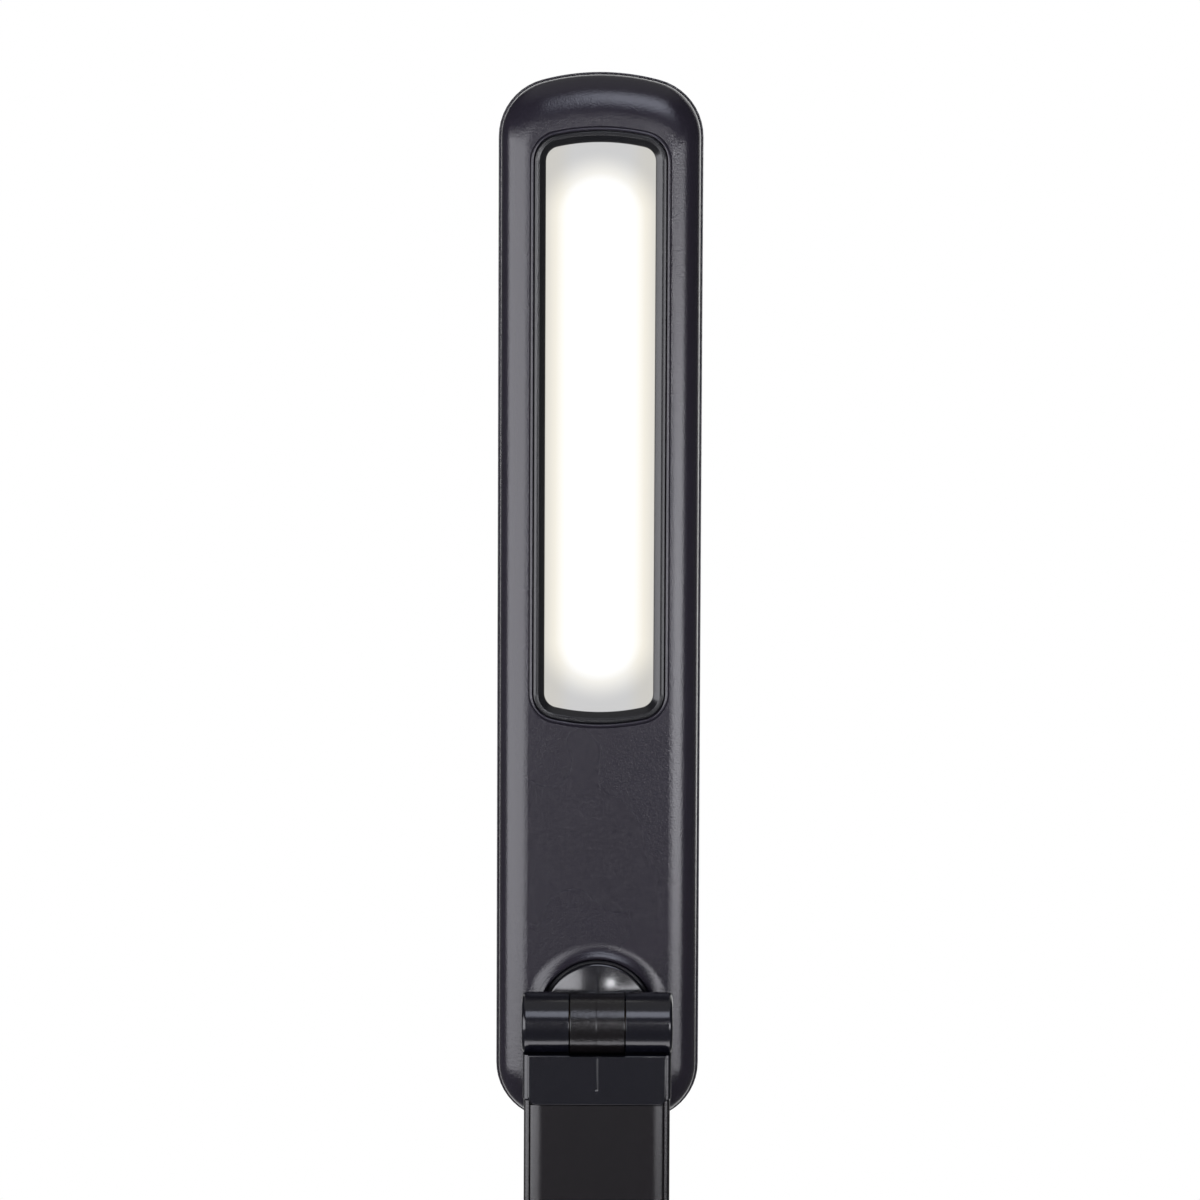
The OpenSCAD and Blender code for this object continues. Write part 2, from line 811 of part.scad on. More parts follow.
// Side outline of the pedestal, as [y, z] from the hinge axis
function pedestal_line() =
    let (rise = lower_z - base_h, top = arm_t / 2, flare = pedestal_foot - top, n = round_steps)
    concat(
        [[-top, 0]],
        [for (i = [0 : n]) let (s = i / n) [-top - flare * (1 - cos(90 * s)), -rise * (0.35 + 0.65 * s)]],
        [[-pedestal_foot, base_wall - rise - 2 * base_wall], [pedestal_foot, base_wall - rise - 2 * base_wall]],
        [for (i = [n : -1 : 0]) let (s = i / n) [top + flare * (1 - cos(90 * s)), -rise * (0.35 + 0.65 * s)]],
        [[top, 0]]
    );

flange_screws = [for (sx = [-1, 1], sy = [-1, 1])
    [sx * (pedestal_flange[0] / 2 - 3), hinge_y + sy * (pedestal_flange[1] / 2 - 3)]];

module hinge_pedestal() {
    color([0.12, 0.12, 0.13])
    difference() {
        union() {
            at_lower() {
                outer_knuckles();
                difference() {
                    rotate([90, 0, 90])
                        linear_extrude(cap_w, center = true)
                            polygon(pedestal_line());
                    shoulder_groove();
                    bar_x(barrel_r - 1, -barrel_len, barrel_len);
                }
            }
            translate([-pedestal_flange[0] / 2, hinge_y - pedestal_flange[1] / 2, roof_z - pedestal_flange[2]])
                cube(pedestal_flange);
        }
        at_lower() knuckle_slot();
        translate([0, hinge_y, 0])
            cylinder(r = 3.5, h = lower_z - barrel_r);
        for (p = flange_screws)
            translate([p[0], p[1], 0])
                cylinder(r = screw_r + 0.1, h = roof_z);
    }
}

module pedestal_screws() {
    color([0.7, 0.7, 0.72])
        for (p = flange_screws)
            translate([p[0], p[1], roof_z - pedestal_flange[2]])
                mirror([0, 0, 1])
                    screw(pedestal_flange[2] + flange_screw_bite);
}

buttons = [[-button_pitch, dim_r], [0, power_r], [button_pitch, dim_r]];

module base_top_shell() {
    function sections(inset, rw, rd, drop, depth) = concat(
        [[base_line(-inset), -depth]],
        [for (e = edge_sections(inset, rw, rd, drop)) [base_line(-e[0]), e[1]]]
    );
    color([0.2, 0.2, 0.23])
    difference() {
        union() {
            translate([0, 0, base_h])
                difference() {
                    loft(sections(0, base_round_w, base_round_d, 0, base_h - shell_z));
                    loft(sections(base_wall, base_round_w - base_wall / 2,
                        base_round_d - base_wall, base_wall, base_h));
                }
            for (p = base_posts)
                translate([p[0], p[1], floor_z])
                    cylinder(r = base_post_r, h = roof_z - floor_z + 1);
        }
        for (p = base_posts)
            translate([p[0], p[1], base_screw_z])
                cylinder(r = screw_r, h = base_screw_len + screw_slack);
        translate([-cap_w / 2 - 0.1, hinge_y - pedestal_foot - 0.1, roof_z - 1])
            cube([cap_w + 0.2, 2 * pedestal_foot + 0.2, base_wall + 2]);
        for (p = flange_screws)
            translate([p[0], p[1], roof_z - 1])
                cylinder(r = screw_r, h = 1 + flange_screw_bite);
        translate([0, button_y, panel_z]) {
            translate([-button_pitch, -power_r - 3, 0])
                cube([2 * button_pitch, 2 * power_r + 6, 5]);
            for (sx = [-1, 1])
                translate([sx * button_pitch, 0, 0])
                    cylinder(r = power_r + 3, h = 5);
        }
        for (b = buttons)
            translate([b[0], button_y, 10])
                cylinder(r = b[1] + 0.25, h = 15);
        translate([0, base_len / 2 - 12, jack_z])
            rotate([-90, 0, 0])
                cylinder(r = jack_nose_r + 0.1, h = 20);
    }
}

module base_bottom_plate() {
    color([0.13, 0.13, 0.14])
    difference() {
        union() {
            prism(base_line(-base_wall - 0.3), plate_z, floor_z);
            for (sx = [-1, 1], sy = [-1, 1])
                translate([sx * (board_size[0] / 2 - 3), button_y + sy * (board_size[1] / 2 - 3), floor_z - 1])
                    cylinder(r = 2.4, h = board_z - floor_z + 1);
        }
        for (p = feet)
            translate([p[0], p[1], plate_z - 1])
                cylinder(r = foot_r + 0.1, h = 2);
        for (p = base_posts)
            translate([p[0], p[1], 0]) {
                cylinder(r = screw_head_r + screw_slack, h = base_screw_z);
                cylinder(r = screw_r + screw_slack, h = base_h);
            }
        for (sx = [-1, 1], sy = [-1, 1])
            translate([sx * (board_size[0] / 2 - 3), button_y + sy * (board_size[1] / 2 - 3), floor_z])
                cylinder(r = screw_r, h = 10);
    }
}

module base_feet() {
    color([0.08, 0.08, 0.08])
        for (p = feet)
            translate([p[0], p[1], 0]) {
                cylinder(r1 = foot_r - 0.8, r2 = foot_r, h = 0.8);
                translate([0, 0, 0.8])
                    cylinder(r = foot_r, h = plate_z + 1 - 0.8);
            }
}

module base_screws() {
    color([0.7, 0.7, 0.72])
        for (p = base_posts)
            translate([p[0], p[1], base_screw_z])
                mirror([0, 0, 1])
                    screw(base_screw_len);
}

module ballast_plate() {
    color([0.5, 0.5, 0.52])
        prism(plate_line(ballast_w, ballast_y0, ballast_y1, ballast_corner, ballast_corner),
            floor_z, floor_z + ballast_t);
}

module control_board() {
    hole = [board_size[0] / 2 - 3, board_size[1] / 2 - 3];
    color([0.1, 0.35, 0.2])
    translate([0, button_y, board_z])
    difference() {
        translate([-board_size[0] / 2, -board_size[1] / 2, 0])
            cube(board_size);
        for (sx = [-1, 1], sy = [-1, 1])
            translate([sx * hole[0], sy * hole[1], -1])
                cylinder(r = screw_r + 0.1, h = 4);
    }
}

module board_screws() {
    color([0.7, 0.7, 0.72])
        for (sx = [-1, 1], sy = [-1, 1])
            translate([sx * (board_size[0] / 2 - 3), button_y + sy * (board_size[1] / 2 - 3), board_z + board_size[2]])
                screw(board_size[2] + board_screw_bite);
}

module tact_switches() {
    color([0.15, 0.15, 0.16])
        for (b = buttons)
            translate([b[0], button_y, board_z + board_size[2]]) {
                translate([-switch_size[0] / 2, -switch_size[1] / 2, 0])
                    cube(switch_size);
                cylinder(r = 1.7, h = switch_size[2] + plunger_h);
            }
}

// A push button: domed cap, retaining flange and stem
module push_button(x, r) {
    color([0.15, 0.15, 0.17])
    translate([x, button_y, 0])
        rotate_extrude()
            polygon([[0, stem_z], [1.8, stem_z], [1.8, flange_z], [r + 1, flange_z], [r + 1, flange_z + flange_t],
                [r, flange_z + flange_t], [r, button_z - 0.4], [r - 0.4, button_z], [0, button_z]]);
}

module power_button() { push_button(0, power_r); }
module dimmer_down_button() { push_button(-button_pitch, dim_r); }
module dimmer_up_button() { push_button(button_pitch, dim_r); }

module dc_jack() {
    color([0.1, 0.1, 0.1])
    difference() {
        union() {
            translate([-jack_size[0] / 2, jack_y - jack_nose - jack_size[1], floor_z])
                cube(jack_size);
            translate([0, jack_y - jack_nose - 1, jack_z])
                rotate([-90, 0, 0])
                    cylinder(r = jack_nose_r, h = jack_nose + 1);
        }
        translate([0, jack_y - jack_bore, jack_z])
            rotate([-90, 0, 0])
                cylinder(r = socket_r, h = jack_bore + 1);
    }
}

module dc_jack_pin() {
    color([0.8, 0.75, 0.5])
    translate([0, jack_y - jack_bore, jack_z])
        rotate([-90, 0, 0])
            cylinder(r = socket_pin_r, h = jack_bore - 1);
}

// A round wire through points, with round elbows
module wire(points, r) {
    for (i = [0 : len(points) - 2]) {
        d = points[i + 1] - points[i];
        translate(points[i])
            rotate([0, acos(d[2] / norm(d)), atan2(d[1], d[0])])
                cylinder(r = r, h = norm(d));
        if (i > 0)
            translate(points[i]) sphere(r = r);
    }
}

// Two wires from the control board, over the ballast, to the back of the power socket
module supply_wires() {
    wire_r = 0.7;
    z = floor_z + ballast_t + wire_r + 0.05;
    y0 = button_y + board_size[1] / 2 - 4;
    y1 = jack_y - jack_nose - jack_size[1] - 0.1;
    color([0.1, 0.1, 0.1])
        for (k = [0, 1]) {
            x = pedestal_flange[0] / 2 + 2 + 2 * k;
            turn = y1 - 3.5 + 2 * k;
            end = 4 * k - 2;
            wire([[x, y0, board_z + board_size[2]], [x, y0, z], [x, turn, z], [end, turn, z],
                [end, y1, z]], wire_r);
        }
}

head_front_shell();
head_rear_shell();
window_frame();
diffuser();
reflector_tray();
tray_screws();
led_board();
led_chips();
head_wires();
swivel_knuckle();
swivel_washer();
swivel_clip();
upper_hinge_cap();
upper_hinge_pin();
upper_pin_covers();
upper_friction_washers();
upper_cap_screws();
arm_channel();
arm_front_cover();
arm_wires();
lower_hinge_cap();
lower_cap_screws();
hinge_pedestal();
pedestal_screws();
lower_hinge_pin();
lower_pin_covers();
lower_friction_washers();
base_top_shell();
base_bottom_plate();
base_feet();
base_screws();
ballast_plate();
control_board();
board_screws();
tact_switches();
power_button();
dimmer_down_button();
dimmer_up_button();
dc_jack();
dc_jack_pin();
supply_wires();
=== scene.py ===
from math import atan2, cos, pi, radians, sin, sqrt

import bmesh
import bpy
from mathutils import Matrix, Vector


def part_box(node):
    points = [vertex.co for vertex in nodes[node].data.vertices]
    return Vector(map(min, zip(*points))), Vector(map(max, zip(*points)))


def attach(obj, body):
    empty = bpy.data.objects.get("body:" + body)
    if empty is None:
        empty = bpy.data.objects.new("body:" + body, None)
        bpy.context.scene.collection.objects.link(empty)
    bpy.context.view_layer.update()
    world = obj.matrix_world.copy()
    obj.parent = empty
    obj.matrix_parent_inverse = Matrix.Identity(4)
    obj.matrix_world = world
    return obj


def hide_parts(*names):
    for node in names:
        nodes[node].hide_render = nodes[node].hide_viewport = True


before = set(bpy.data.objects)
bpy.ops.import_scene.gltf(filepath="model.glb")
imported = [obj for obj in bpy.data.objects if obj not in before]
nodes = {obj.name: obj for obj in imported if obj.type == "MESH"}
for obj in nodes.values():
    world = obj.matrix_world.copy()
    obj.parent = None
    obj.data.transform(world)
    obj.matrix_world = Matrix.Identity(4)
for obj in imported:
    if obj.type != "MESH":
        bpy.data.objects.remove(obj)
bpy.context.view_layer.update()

print("frame loaded,", len(nodes), "CAD nodes")


def middleOf(node):
    # the middle of a CAD node's box, in mm
    low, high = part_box(node)
    return [round((a + b) * 500, 2) for a, b in zip(low, high)]


# where the pieces sit, in mm, as the CAD has them
lamp = {
    "hingeY": middleOf("upper_hinge_pin")[1],      # both hinge axes, back from the middle of the base
    "lowerZ": middleOf("lower_hinge_pin")[2],      # lower hinge axis over the table
    "upperZ": middleOf("upper_hinge_pin")[2],      # upper hinge axis over the table
    "faceOff": 9.2,                                # head's flat face behind the upper axis
}

inMetres = Matrix.Scale(0.001, 4)
onBase = inMetres
onUpper = inMetres @ Matrix.Translation((0, lamp["hingeY"], lamp["upperZ"]))
onLower = inMetres @ Matrix.Translation((0, lamp["hingeY"], lamp["lowerZ"]))
# the head is drawn lying flat: X across, Y along it, Z out of the lit face
onHead = (inMetres
          @ Matrix.Translation((0, lamp["hingeY"] + lamp["faceOff"], lamp["upperZ"]))
          @ Matrix.Rotation(radians(90), 4, "X"))

# over the head's middle and tipped a little down, in metres, degrees and mm of lens
view = {
    "distance": 1.2,
    "tip": 5.0,
    "roll": 0.254,          # the lamp leans a touch to the right
    "lens": 147.2,
    "sensor": 36,
    "aimX": 0.00022,
    "aimOverAxis": 0.103,
    "near": 0.05,
    "far": 100,
}


def makeCamera():
    faceY = (lamp["hingeY"] + lamp["faceOff"]) * 0.001
    aim = Vector((view["aimX"], faceY, lamp["upperZ"] * 0.001 + view["aimOverAxis"]))
    tip = radians(view["tip"])
    data = bpy.data.cameras.new("photoCamera")
    data.lens = view["lens"]
    data.sensor_width = view["sensor"]
    data.clip_start = view["near"]
    data.clip_end = view["far"]
    camera = bpy.data.objects.new("photoCamera", data)
    camera.location = aim + Vector((0, -cos(tip), sin(tip))) * view["distance"]
    turn = Matrix.Rotation(radians(90) - tip, 4, "X") @ Matrix.Rotation(radians(view["roll"]), 4, "Z")
    camera.rotation_euler = turn.to_euler()
    bpy.context.scene.collection.objects.link(camera)
    bpy.context.scene.camera = camera


makeCamera()


# materials

def linear(code):
    # sRGB hex to the linear values that Blender works in
    parts = [int(code[i:i + 2], 16) / 255 for i in (1, 3, 5)]
    return tuple(c / 12.92 if c <= 0.04045 else ((c + 0.055) / 1.055) ** 2.4 for c in parts) + (1.0,)


def addNode(tree, kind, inputs=(), **settings):
    made = tree.nodes.new("ShaderNode" + kind)
    for name, value in settings.items():
        setattr(made, name, value)
    for name, value in dict(inputs).items():
        if isinstance(value, bpy.types.NodeSocket):
            tree.links.new(value, made.inputs[name])
        else:
            made.inputs[name].default_value = value
    return made


def newMaterial(name):
    material = bpy.data.materials.new(name)
    material.use_nodes = True
    material.node_tree.nodes.clear()
    return material, material.node_tree


def mouldedPlastic(name, finish):
    material, tree = newMaterial(name)
    place = addNode(tree, "TexCoord").outputs["Object"]
    # uneven pigment, in soft clouds
    cloud = addNode(tree, "TexNoise", {"Vector": place, "Scale": 1000 / finish["cloudMm"],
                                       "Detail": 2.0, "Roughness": 0.5})
    # the grain that the mould's wall leaves
    grain = addNode(tree, "TexNoise", {"Vector": place, "Scale": 1000 / finish["grainMm"],
                                       "Detail": 3.0, "Roughness": 0.6})
    tone = addNode(tree, "Mix", data_type="RGBA")
    tree.links.new(cloud.outputs["Fac"], tone.inputs[0])
    tone.inputs[6].default_value = linear(finish["dark"])
    tone.inputs[7].default_value = linear(finish["light"])
    gloss = addNode(tree, "MapRange", {"Value": grain.outputs["Fac"], "From Min": 0.3, "From Max": 0.7,
                                       "To Min": finish["rough"][0], "To Max": finish["rough"][1]})
    # a fifth of its own width deep
    bump = addNode(tree, "Bump", {"Height": grain.outputs["Fac"], "Strength": finish["bump"],
                                  "Distance": finish["grainMm"] * 0.0002})
    shader = addNode(tree, "BsdfPrincipled", {
        "Base Color": tone.outputs[2],
        "Roughness": gloss.outputs["Result"],
        "IOR": finish["ior"],
        "Coat Weight": finish.get("coat", 0.0),
        "Coat Roughness": 0.12,
        "Normal": bump.outputs["Normal"],
    })
    addNode(tree, "OutputMaterial", {"Surface": shader.outputs["BSDF"]})
    return material


def workedMetal(name, finish):
    material, tree = newMaterial(name)
    place = addNode(tree, "TexCoord").outputs["Object"]
    # tool marks drawn out along one direction
    stretch = addNode(tree, "Mapping", {"Vector": place, "Scale": finish["stretch"]})
    marks = addNode(tree, "TexNoise", {"Vector": stretch.outputs["Vector"], "Scale": 1000 / finish["markMm"],
                                       "Detail": 4.0, "Roughness": 0.6})
    tone = addNode(tree, "Mix", data_type="RGBA")
    tree.links.new(marks.outputs["Fac"], tone.inputs[0])
    tone.inputs[6].default_value = linear(finish["dark"])
    tone.inputs[7].default_value = linear(finish["light"])
    gloss = addNode(tree, "MapRange", {"Value": marks.outputs["Fac"], "From Min": 0.3, "From Max": 0.7,
                                       "To Min": finish["rough"][0], "To Max": finish["rough"][1]})
    # a tenth of their own width deep
    bump = addNode(tree, "Bump", {"Height": marks.outputs["Fac"], "Strength": finish["bump"],
                                  "Distance": finish["markMm"] * 0.0001})
    shader = addNode(tree, "BsdfPrincipled", {
        "Base Color": tone.outputs[2],
        "Metallic": 1.0,
        "Roughness": gloss.outputs["Result"],
        "Normal": bump.outputs["Normal"],
    })
    addNode(tree, "OutputMaterial", {"Surface": shader.outputs["BSDF"]})
    return material


# ABS from a spark-eroded mould: fine grain that softens each highlight's edge.
# The real grain is near 0.15 mm; it is drawn at 0.5 mm so that it shows.
sparkErodedAbs = mouldedPlastic("sparkErodedAbs", {
    "dark": "#1e1b22", "light": "#24212a", "cloudMm": 45, "grainMm": 0.5,
    "rough": (0.14, 0.21), "bump": 0.52, "ior": 1.54})
# ABS from a polished mould: satin, with a clean edge to each reflection; its faint
# orange peel is drawn coarse enough to show
satinAbs = mouldedPlastic("satinAbs", {
    "dark": "#0b0b11", "light": "#101017", "cloudMm": 20, "grainMm": 0.6,
    "rough": (0.16, 0.2), "bump": 0.08, "ior": 1.58})
# the same ABS, polished and lacquered on the swivel disc's face
lacqueredAbs = mouldedPlastic("lacqueredAbs", {
    "dark": "#141418", "light": "#19191e", "cloudMm": 20, "grainMm": 0.6,
    "rough": (0.16, 0.22), "bump": 0.12, "ior": 1.54, "coat": 0.9})
# ABS from a coarser eroded mould, on the centre knuckle: dull and speckled, drawn at 0.9 mm so
# that the speckle shows
grainedAbs = mouldedPlastic("grainedAbs", {
    "dark": "#0c0b0c", "light": "#120f11", "cloudMm": 15, "grainMm": 0.9,
    "rough": (0.18, 0.26), "bump": 0.36, "ior": 1.54})
# ABS from a finely eroded mould, on the arm: even satin, its grain drawn at 0.45 mm
armAbs = mouldedPlastic("armAbs", {
    "dark": "#141214", "light": "#191719", "cloudMm": 60, "grainMm": 0.45,
    "rough": (0.15, 0.2), "bump": 0.25, "ior": 1.54})
# ABS from a smooth mould, round the window: near black with soft fine lines of light
trimAbs = mouldedPlastic("trimAbs", {
    "dark": "#121214", "light": "#17171a", "cloudMm": 30, "grainMm": 0.5,
    "rough": (0.2, 0.24), "bump": 0.02, "ior": 1.54})
# white ABS, moulded smooth: the reflector behind the window
whiteAbs = mouldedPlastic("whiteAbs", {
    "dark": "#e6e6e2", "light": "#efefec", "cloudMm": 30, "grainMm": 0.6,
    "rough": (0.35, 0.45), "bump": 0.1, "ior": 1.54})
# glass-filled nylon, moulded: dull black with a rough grain, for switches, socket and bottom plate
blackNylon = mouldedPlastic("blackNylon", {
    "dark": "#141414", "light": "#1b1b1b", "cloudMm": 8, "grainMm": 0.3,
    "rough": (0.4, 0.55), "bump": 0.3, "ior": 1.53})
# screen-printed solder mask over the control board: deep green under a soft gloss
greenSolderMask = mouldedPlastic("greenSolderMask", {
    "dark": "#0c3b1e", "light": "#114a27", "cloudMm": 6, "grainMm": 0.5,
    "rough": (0.2, 0.3), "bump": 0.1, "ior": 1.5})
# white solder mask over the LED board's aluminium
whiteSolderMask = mouldedPlastic("whiteSolderMask", {
    "dark": "#dcdcd8", "light": "#e6e6e3", "cloudMm": 10, "grainMm": 0.5,
    "rough": (0.25, 0.35), "bump": 0.1, "ior": 1.5})
# phosphor in cast silicone on each LED: flat warm yellow
yellowPhosphor = mouldedPlastic("yellowPhosphor", {
    "dark": "#d9b64a", "light": "#e3c45e", "cloudMm": 2, "grainMm": 0.2,
    "rough": (0.3, 0.4), "bump": 0.1, "ior": 1.5})
# extruded PVC insulation: smooth and slightly greasy
blackPvc = mouldedPlastic("blackPvc", {
    "dark": "#151515", "light": "#1c1c1c", "cloudMm": 12, "grainMm": 0.4,
    "rough": (0.35, 0.45), "bump": 0.15, "ior": 1.53})
redPvc = mouldedPlastic("redPvc", {
    "dark": "#8f1f1c", "light": "#a32722", "cloudMm": 12, "grainMm": 0.4,
    "rough": (0.35, 0.45), "bump": 0.15, "ior": 1.53})
# moulded silicone rubber feet: matt, with no clear reflection
siliconeRubber = mouldedPlastic("siliconeRubber", {
    "dark": "#161616", "light": "#1e1e1e", "cloudMm": 9, "grainMm": 0.35,
    "rough": (0.6, 0.75), "bump": 0.35, "ior": 1.43})

# centreless-ground steel: bright, with fine rings round each pin
groundSteel = workedMetal("groundSteel", {
    "dark": "#9a9b9d", "light": "#b2b3b5", "markMm": 0.6, "stretch": (4, 1, 1),
    "rough": (0.18, 0.3), "bump": 0.1})
# zinc plate over rolled threads: pale grey and a little cloudy
zincSteel = workedMetal("zincSteel", {
    "dark": "#a2a4a8", "light": "#bcbec2", "markMm": 0.8, "stretch": (1, 1, 1),
    "rough": (0.25, 0.4), "bump": 0.1})
# hot-rolled steel plate, sheared: dark scale in long streaks
rolledSteel = workedMetal("rolledSteel", {
    "dark": "#5b5c5f", "light": "#707174", "markMm": 3.0, "stretch": (1, 6, 1),
    "rough": (0.4, 0.6), "bump": 0.3})
# lapped bronze washers, their colour darkened as painted shade for the narrow gap they show in
gapShadedBronze = workedMetal("gapShadedBronze", {
    "dark": "#3f3526", "light": "#4f4330", "markMm": 0.7, "stretch": (1, 1, 1),
    "rough": (0.35, 0.5), "bump": 0.1})
# tin plate over drawn brass: pale and clean
tinnedBrass = workedMetal("tinnedBrass", {
    "dark": "#b9b193", "light": "#ccc4a8", "markMm": 0.5, "stretch": (1, 1, 1),
    "rough": (0.15, 0.25), "bump": 0.05})


# opal acrylic over the LED rows: full light in a round-ended core, falling off to the edges
panelGlow = {
    "middleY": 144.9,      # middle of the window along the head, from the upper axis, in mm
    "coreHalf": 7.6,      # half the core's width
    "coreReach": 51.3,    # from the middle to the centre of each round end
    "fade": 9.0,
    "bright": "#fffffe",
    "half": "#eceae4",     # part of the way down
    "dim": "#c3c3c3",
    "halfAt": 0.3,
    "sideTint": "#fffcf4",
    "tintFrom": 6.0,       # aside from the middle, where the tint starts and is full
    "tintFull": 11.5,
    "body": "#20201f",     # the sheet itself, under its own light
    "rough": 0.35,
    "ior": 1.49,
}


def opalAcrylic(name, glow):
    material, tree = newMaterial(name)
    place = addNode(tree, "SeparateXYZ", {"Vector": addNode(tree, "TexCoord").outputs["Object"]})
    middleZ = (lamp["upperZ"] + glow["middleY"]) * 0.001
    upDown = addNode(tree, "Math", {0: place.outputs["Z"], 1: middleZ}, operation="SUBTRACT")
    fromMiddle = addNode(tree, "Math", {0: upDown.outputs[0]}, operation="ABSOLUTE")
    pastCore = addNode(tree, "Math", {0: fromMiddle.outputs[0], 1: glow["coreReach"] * 0.001},
                       operation="SUBTRACT", use_clamp=True)
    fromCore = addNode(tree, "VectorMath", {0: addNode(tree, "CombineXYZ", {
        "X": place.outputs["X"], "Z": pastCore.outputs[0]}).outputs[0]}, operation="LENGTH")
    fall = addNode(tree, "MapRange", {"Value": fromCore.outputs["Value"],
                                      "From Min": glow["coreHalf"] * 0.001,
                                      "From Max": (glow["coreHalf"] + glow["fade"]) * 0.001},
                   interpolation_type="SMOOTHSTEP")
    tint = addNode(tree, "ValToRGB", {"Fac": fall.outputs[0]})
    stops = tint.color_ramp.elements
    stops[0].color = linear(glow["bright"])
    stops[1].color = linear(glow["dim"])
    stops.new(glow["halfAt"]).color = linear(glow["half"])
    # a little warmer along both sides
    fromCentre = addNode(tree, "Math", {0: place.outputs["X"]}, operation="ABSOLUTE")
    aside = addNode(tree, "MapRange", {"Value": fromCentre.outputs[0],
                                       "From Min": glow["tintFrom"] * 0.001,
                                       "From Max": glow["tintFull"] * 0.001},
                    interpolation_type="SMOOTHSTEP")
    warmed = addNode(tree, "Mix", {0: aside.outputs[0], 6: tint.outputs["Color"]},
                     data_type="RGBA", blend_type="MULTIPLY")
    warmed.inputs[7].default_value = linear(glow["sideTint"])
    shader = addNode(tree, "BsdfPrincipled", {
        "Base Color": linear(glow["body"]),
        "Roughness": glow["rough"],
        "IOR": glow["ior"],
        "Emission Color": warmed.outputs[2],
        "Emission Strength": 1.0,
    })
    addNode(tree, "OutputMaterial", {"Surface": shader.outputs["BSDF"]})
    return material


litOpal = opalAcrylic("litOpalAcrylic", panelGlow)

# the CAD nodes that show as they are
nodeFinish = {
    "diffuser": litOpal, "reflector_tray": whiteAbs, "tray_screws": zincSteel,
    "led_board": whiteSolderMask, "led_chips": yellowPhosphor, "head_wires": redPvc,
    "swivel_washer": groundSteel, "swivel_clip": groundSteel,
    "upper_hinge_pin": groundSteel, "upper_pin_covers": satinAbs,
    "upper_friction_washers": gapShadedBronze, "upper_cap_screws": zincSteel, "arm_wires": blackPvc,
    "lower_cap_screws": zincSteel, "pedestal_screws": zincSteel, "lower_hinge_pin": groundSteel,
    # the washers' bronze is darkened as painted shade for the gap round them
    "lower_pin_covers": satinAbs, "lower_friction_washers": gapShadedBronze,
    "base_bottom_plate": blackNylon, "base_feet": siliconeRubber, "base_screws": zincSteel,
    "ballast_plate": rolledSteel, "control_board": greenSolderMask, "board_screws": zincSteel,
    "tact_switches": blackNylon, "dc_jack": blackNylon, "dc_jack_pin": tinnedBrass,
    "supply_wires": blackPvc,
}
for name, material in nodeFinish.items():
    nodes[name].data.materials.clear()
    nodes[name].data.materials.append(material)
print("materials made")


# mesh helpers: shapes are drawn in mm and placed in metres at the end

sharpFrom = radians(38)    # a bend steeper than this shows as an edge
sameSpot = 0.0005          # doubles closer than this are merged, in mm
cutSlack = 0.002           # the same after a cut or a union
close = 0.01               # how near a point has to be to count as on a line, in mm


def spinTo(bm, vert, centre, angle, steps):
    out = bmesh.ops.spin(bm, geom=[vert], cent=(centre[0], centre[1], vert.co.z), axis=(0, 0, 1),
                         angle=angle, steps=steps)
    return [g for g in out["geom_last"] if isinstance(g, bmesh.types.BMVert)][0]


def archedLoop(bm, shape, grow, z):
    # sides joined by corner arcs to two shallow end arcs, all spun from one point
    half, low, high = shape["half"], shape["low"], shape["high"]
    endR, cornerR = shape["endRadius"], shape["cornerRadius"]
    up = sqrt((endR - cornerR) ** 2 - (half - cornerR) ** 2)
    lean = atan2(up, half - cornerR)
    before = set(bm.edges)
    start = here = bm.verts.new((half + grow, high - endR + up, z))
    for centre, angle, steps in (((half - cornerR, high - endR + up), lean, 10),
                                 ((0, high - endR), pi - 2 * lean, 20),
                                 ((cornerR - half, high - endR + up), lean, 10)):
        here = spinTo(bm, here, centre, angle, steps)
    across = bm.verts.new((-half - grow, low + endR - up, z))
    bm.edges.new((here, across))
    here = across
    for centre, angle, steps in (((cornerR - half, low + endR - up), lean, 10),
                                 ((0, low + endR), pi - 2 * lean, 20),
                                 ((half - cornerR, low + endR - up), lean, 10)):
        here = spinTo(bm, here, centre, angle, steps)
    bm.edges.new((here, start))
    return [e for e in bm.edges if e not in before]


def slotLoop(bm, reach, radius, centreY, z):
    # two half circles joined by straight sides
    before = set(bm.edges)
    start = bm.verts.new((reach, centreY - radius, z))
    here = spinTo(bm, start, (reach, centreY), pi, 16)
    across = bm.verts.new((-reach, centreY + radius, z))
    bm.edges.new((here, across))
    here = spinTo(bm, across, (-reach, centreY), pi, 16)
    bm.edges.new((here, start))
    return [e for e in bm.edges if e not in before]


def ringLoop(bm, radius, centre, segments=64):
    made = bmesh.ops.create_circle(bm, segments=segments, radius=radius)["verts"]
    bmesh.ops.translate(bm, verts=made, vec=centre)
    return list({e for v in made for e in v.link_edges})


def squeeze(loop, half):
    # keeps a loop between two sides
    for v in {v for e in loop for v in e.verts}:
        v.co.x = max(-half, min(half, v.co.x))


def boxLoop(bm, halfX, lowY, highY, z):
    corners = [bm.verts.new(p) for p in ((-halfX, lowY, z), (halfX, lowY, z),
                                         (halfX, highY, z), (-halfX, highY, z))]
    return [bm.edges.new((corners[i], corners[(i + 1) % 4])) for i in range(4)]


def moveNew(bm, made, by):
    # moves the corners among what an operator made
    bmesh.ops.translate(bm, verts=[g for g in made if isinstance(g, bmesh.types.BMVert)], vec=by)


def bridge(bm, loops):
    # skins a row of loops; two at exactly one height would be joined at random, so flats lean a little
    for first, second in zip(loops, loops[1:]):
        bmesh.ops.bridge_loops(bm, edges=first + second)


def dropLoop(bm, loop, depth):
    # a wall straight down from a loop
    made = bmesh.ops.extrude_edge_only(bm, edges=loop)["geom"]
    moveNew(bm, made, (0, 0, -depth))


def fillFlat(bm, loops):
    bmesh.ops.triangle_fill(bm, edges=[e for loop in loops for e in loop], use_beauty=True, normal=(0, 0, 1))


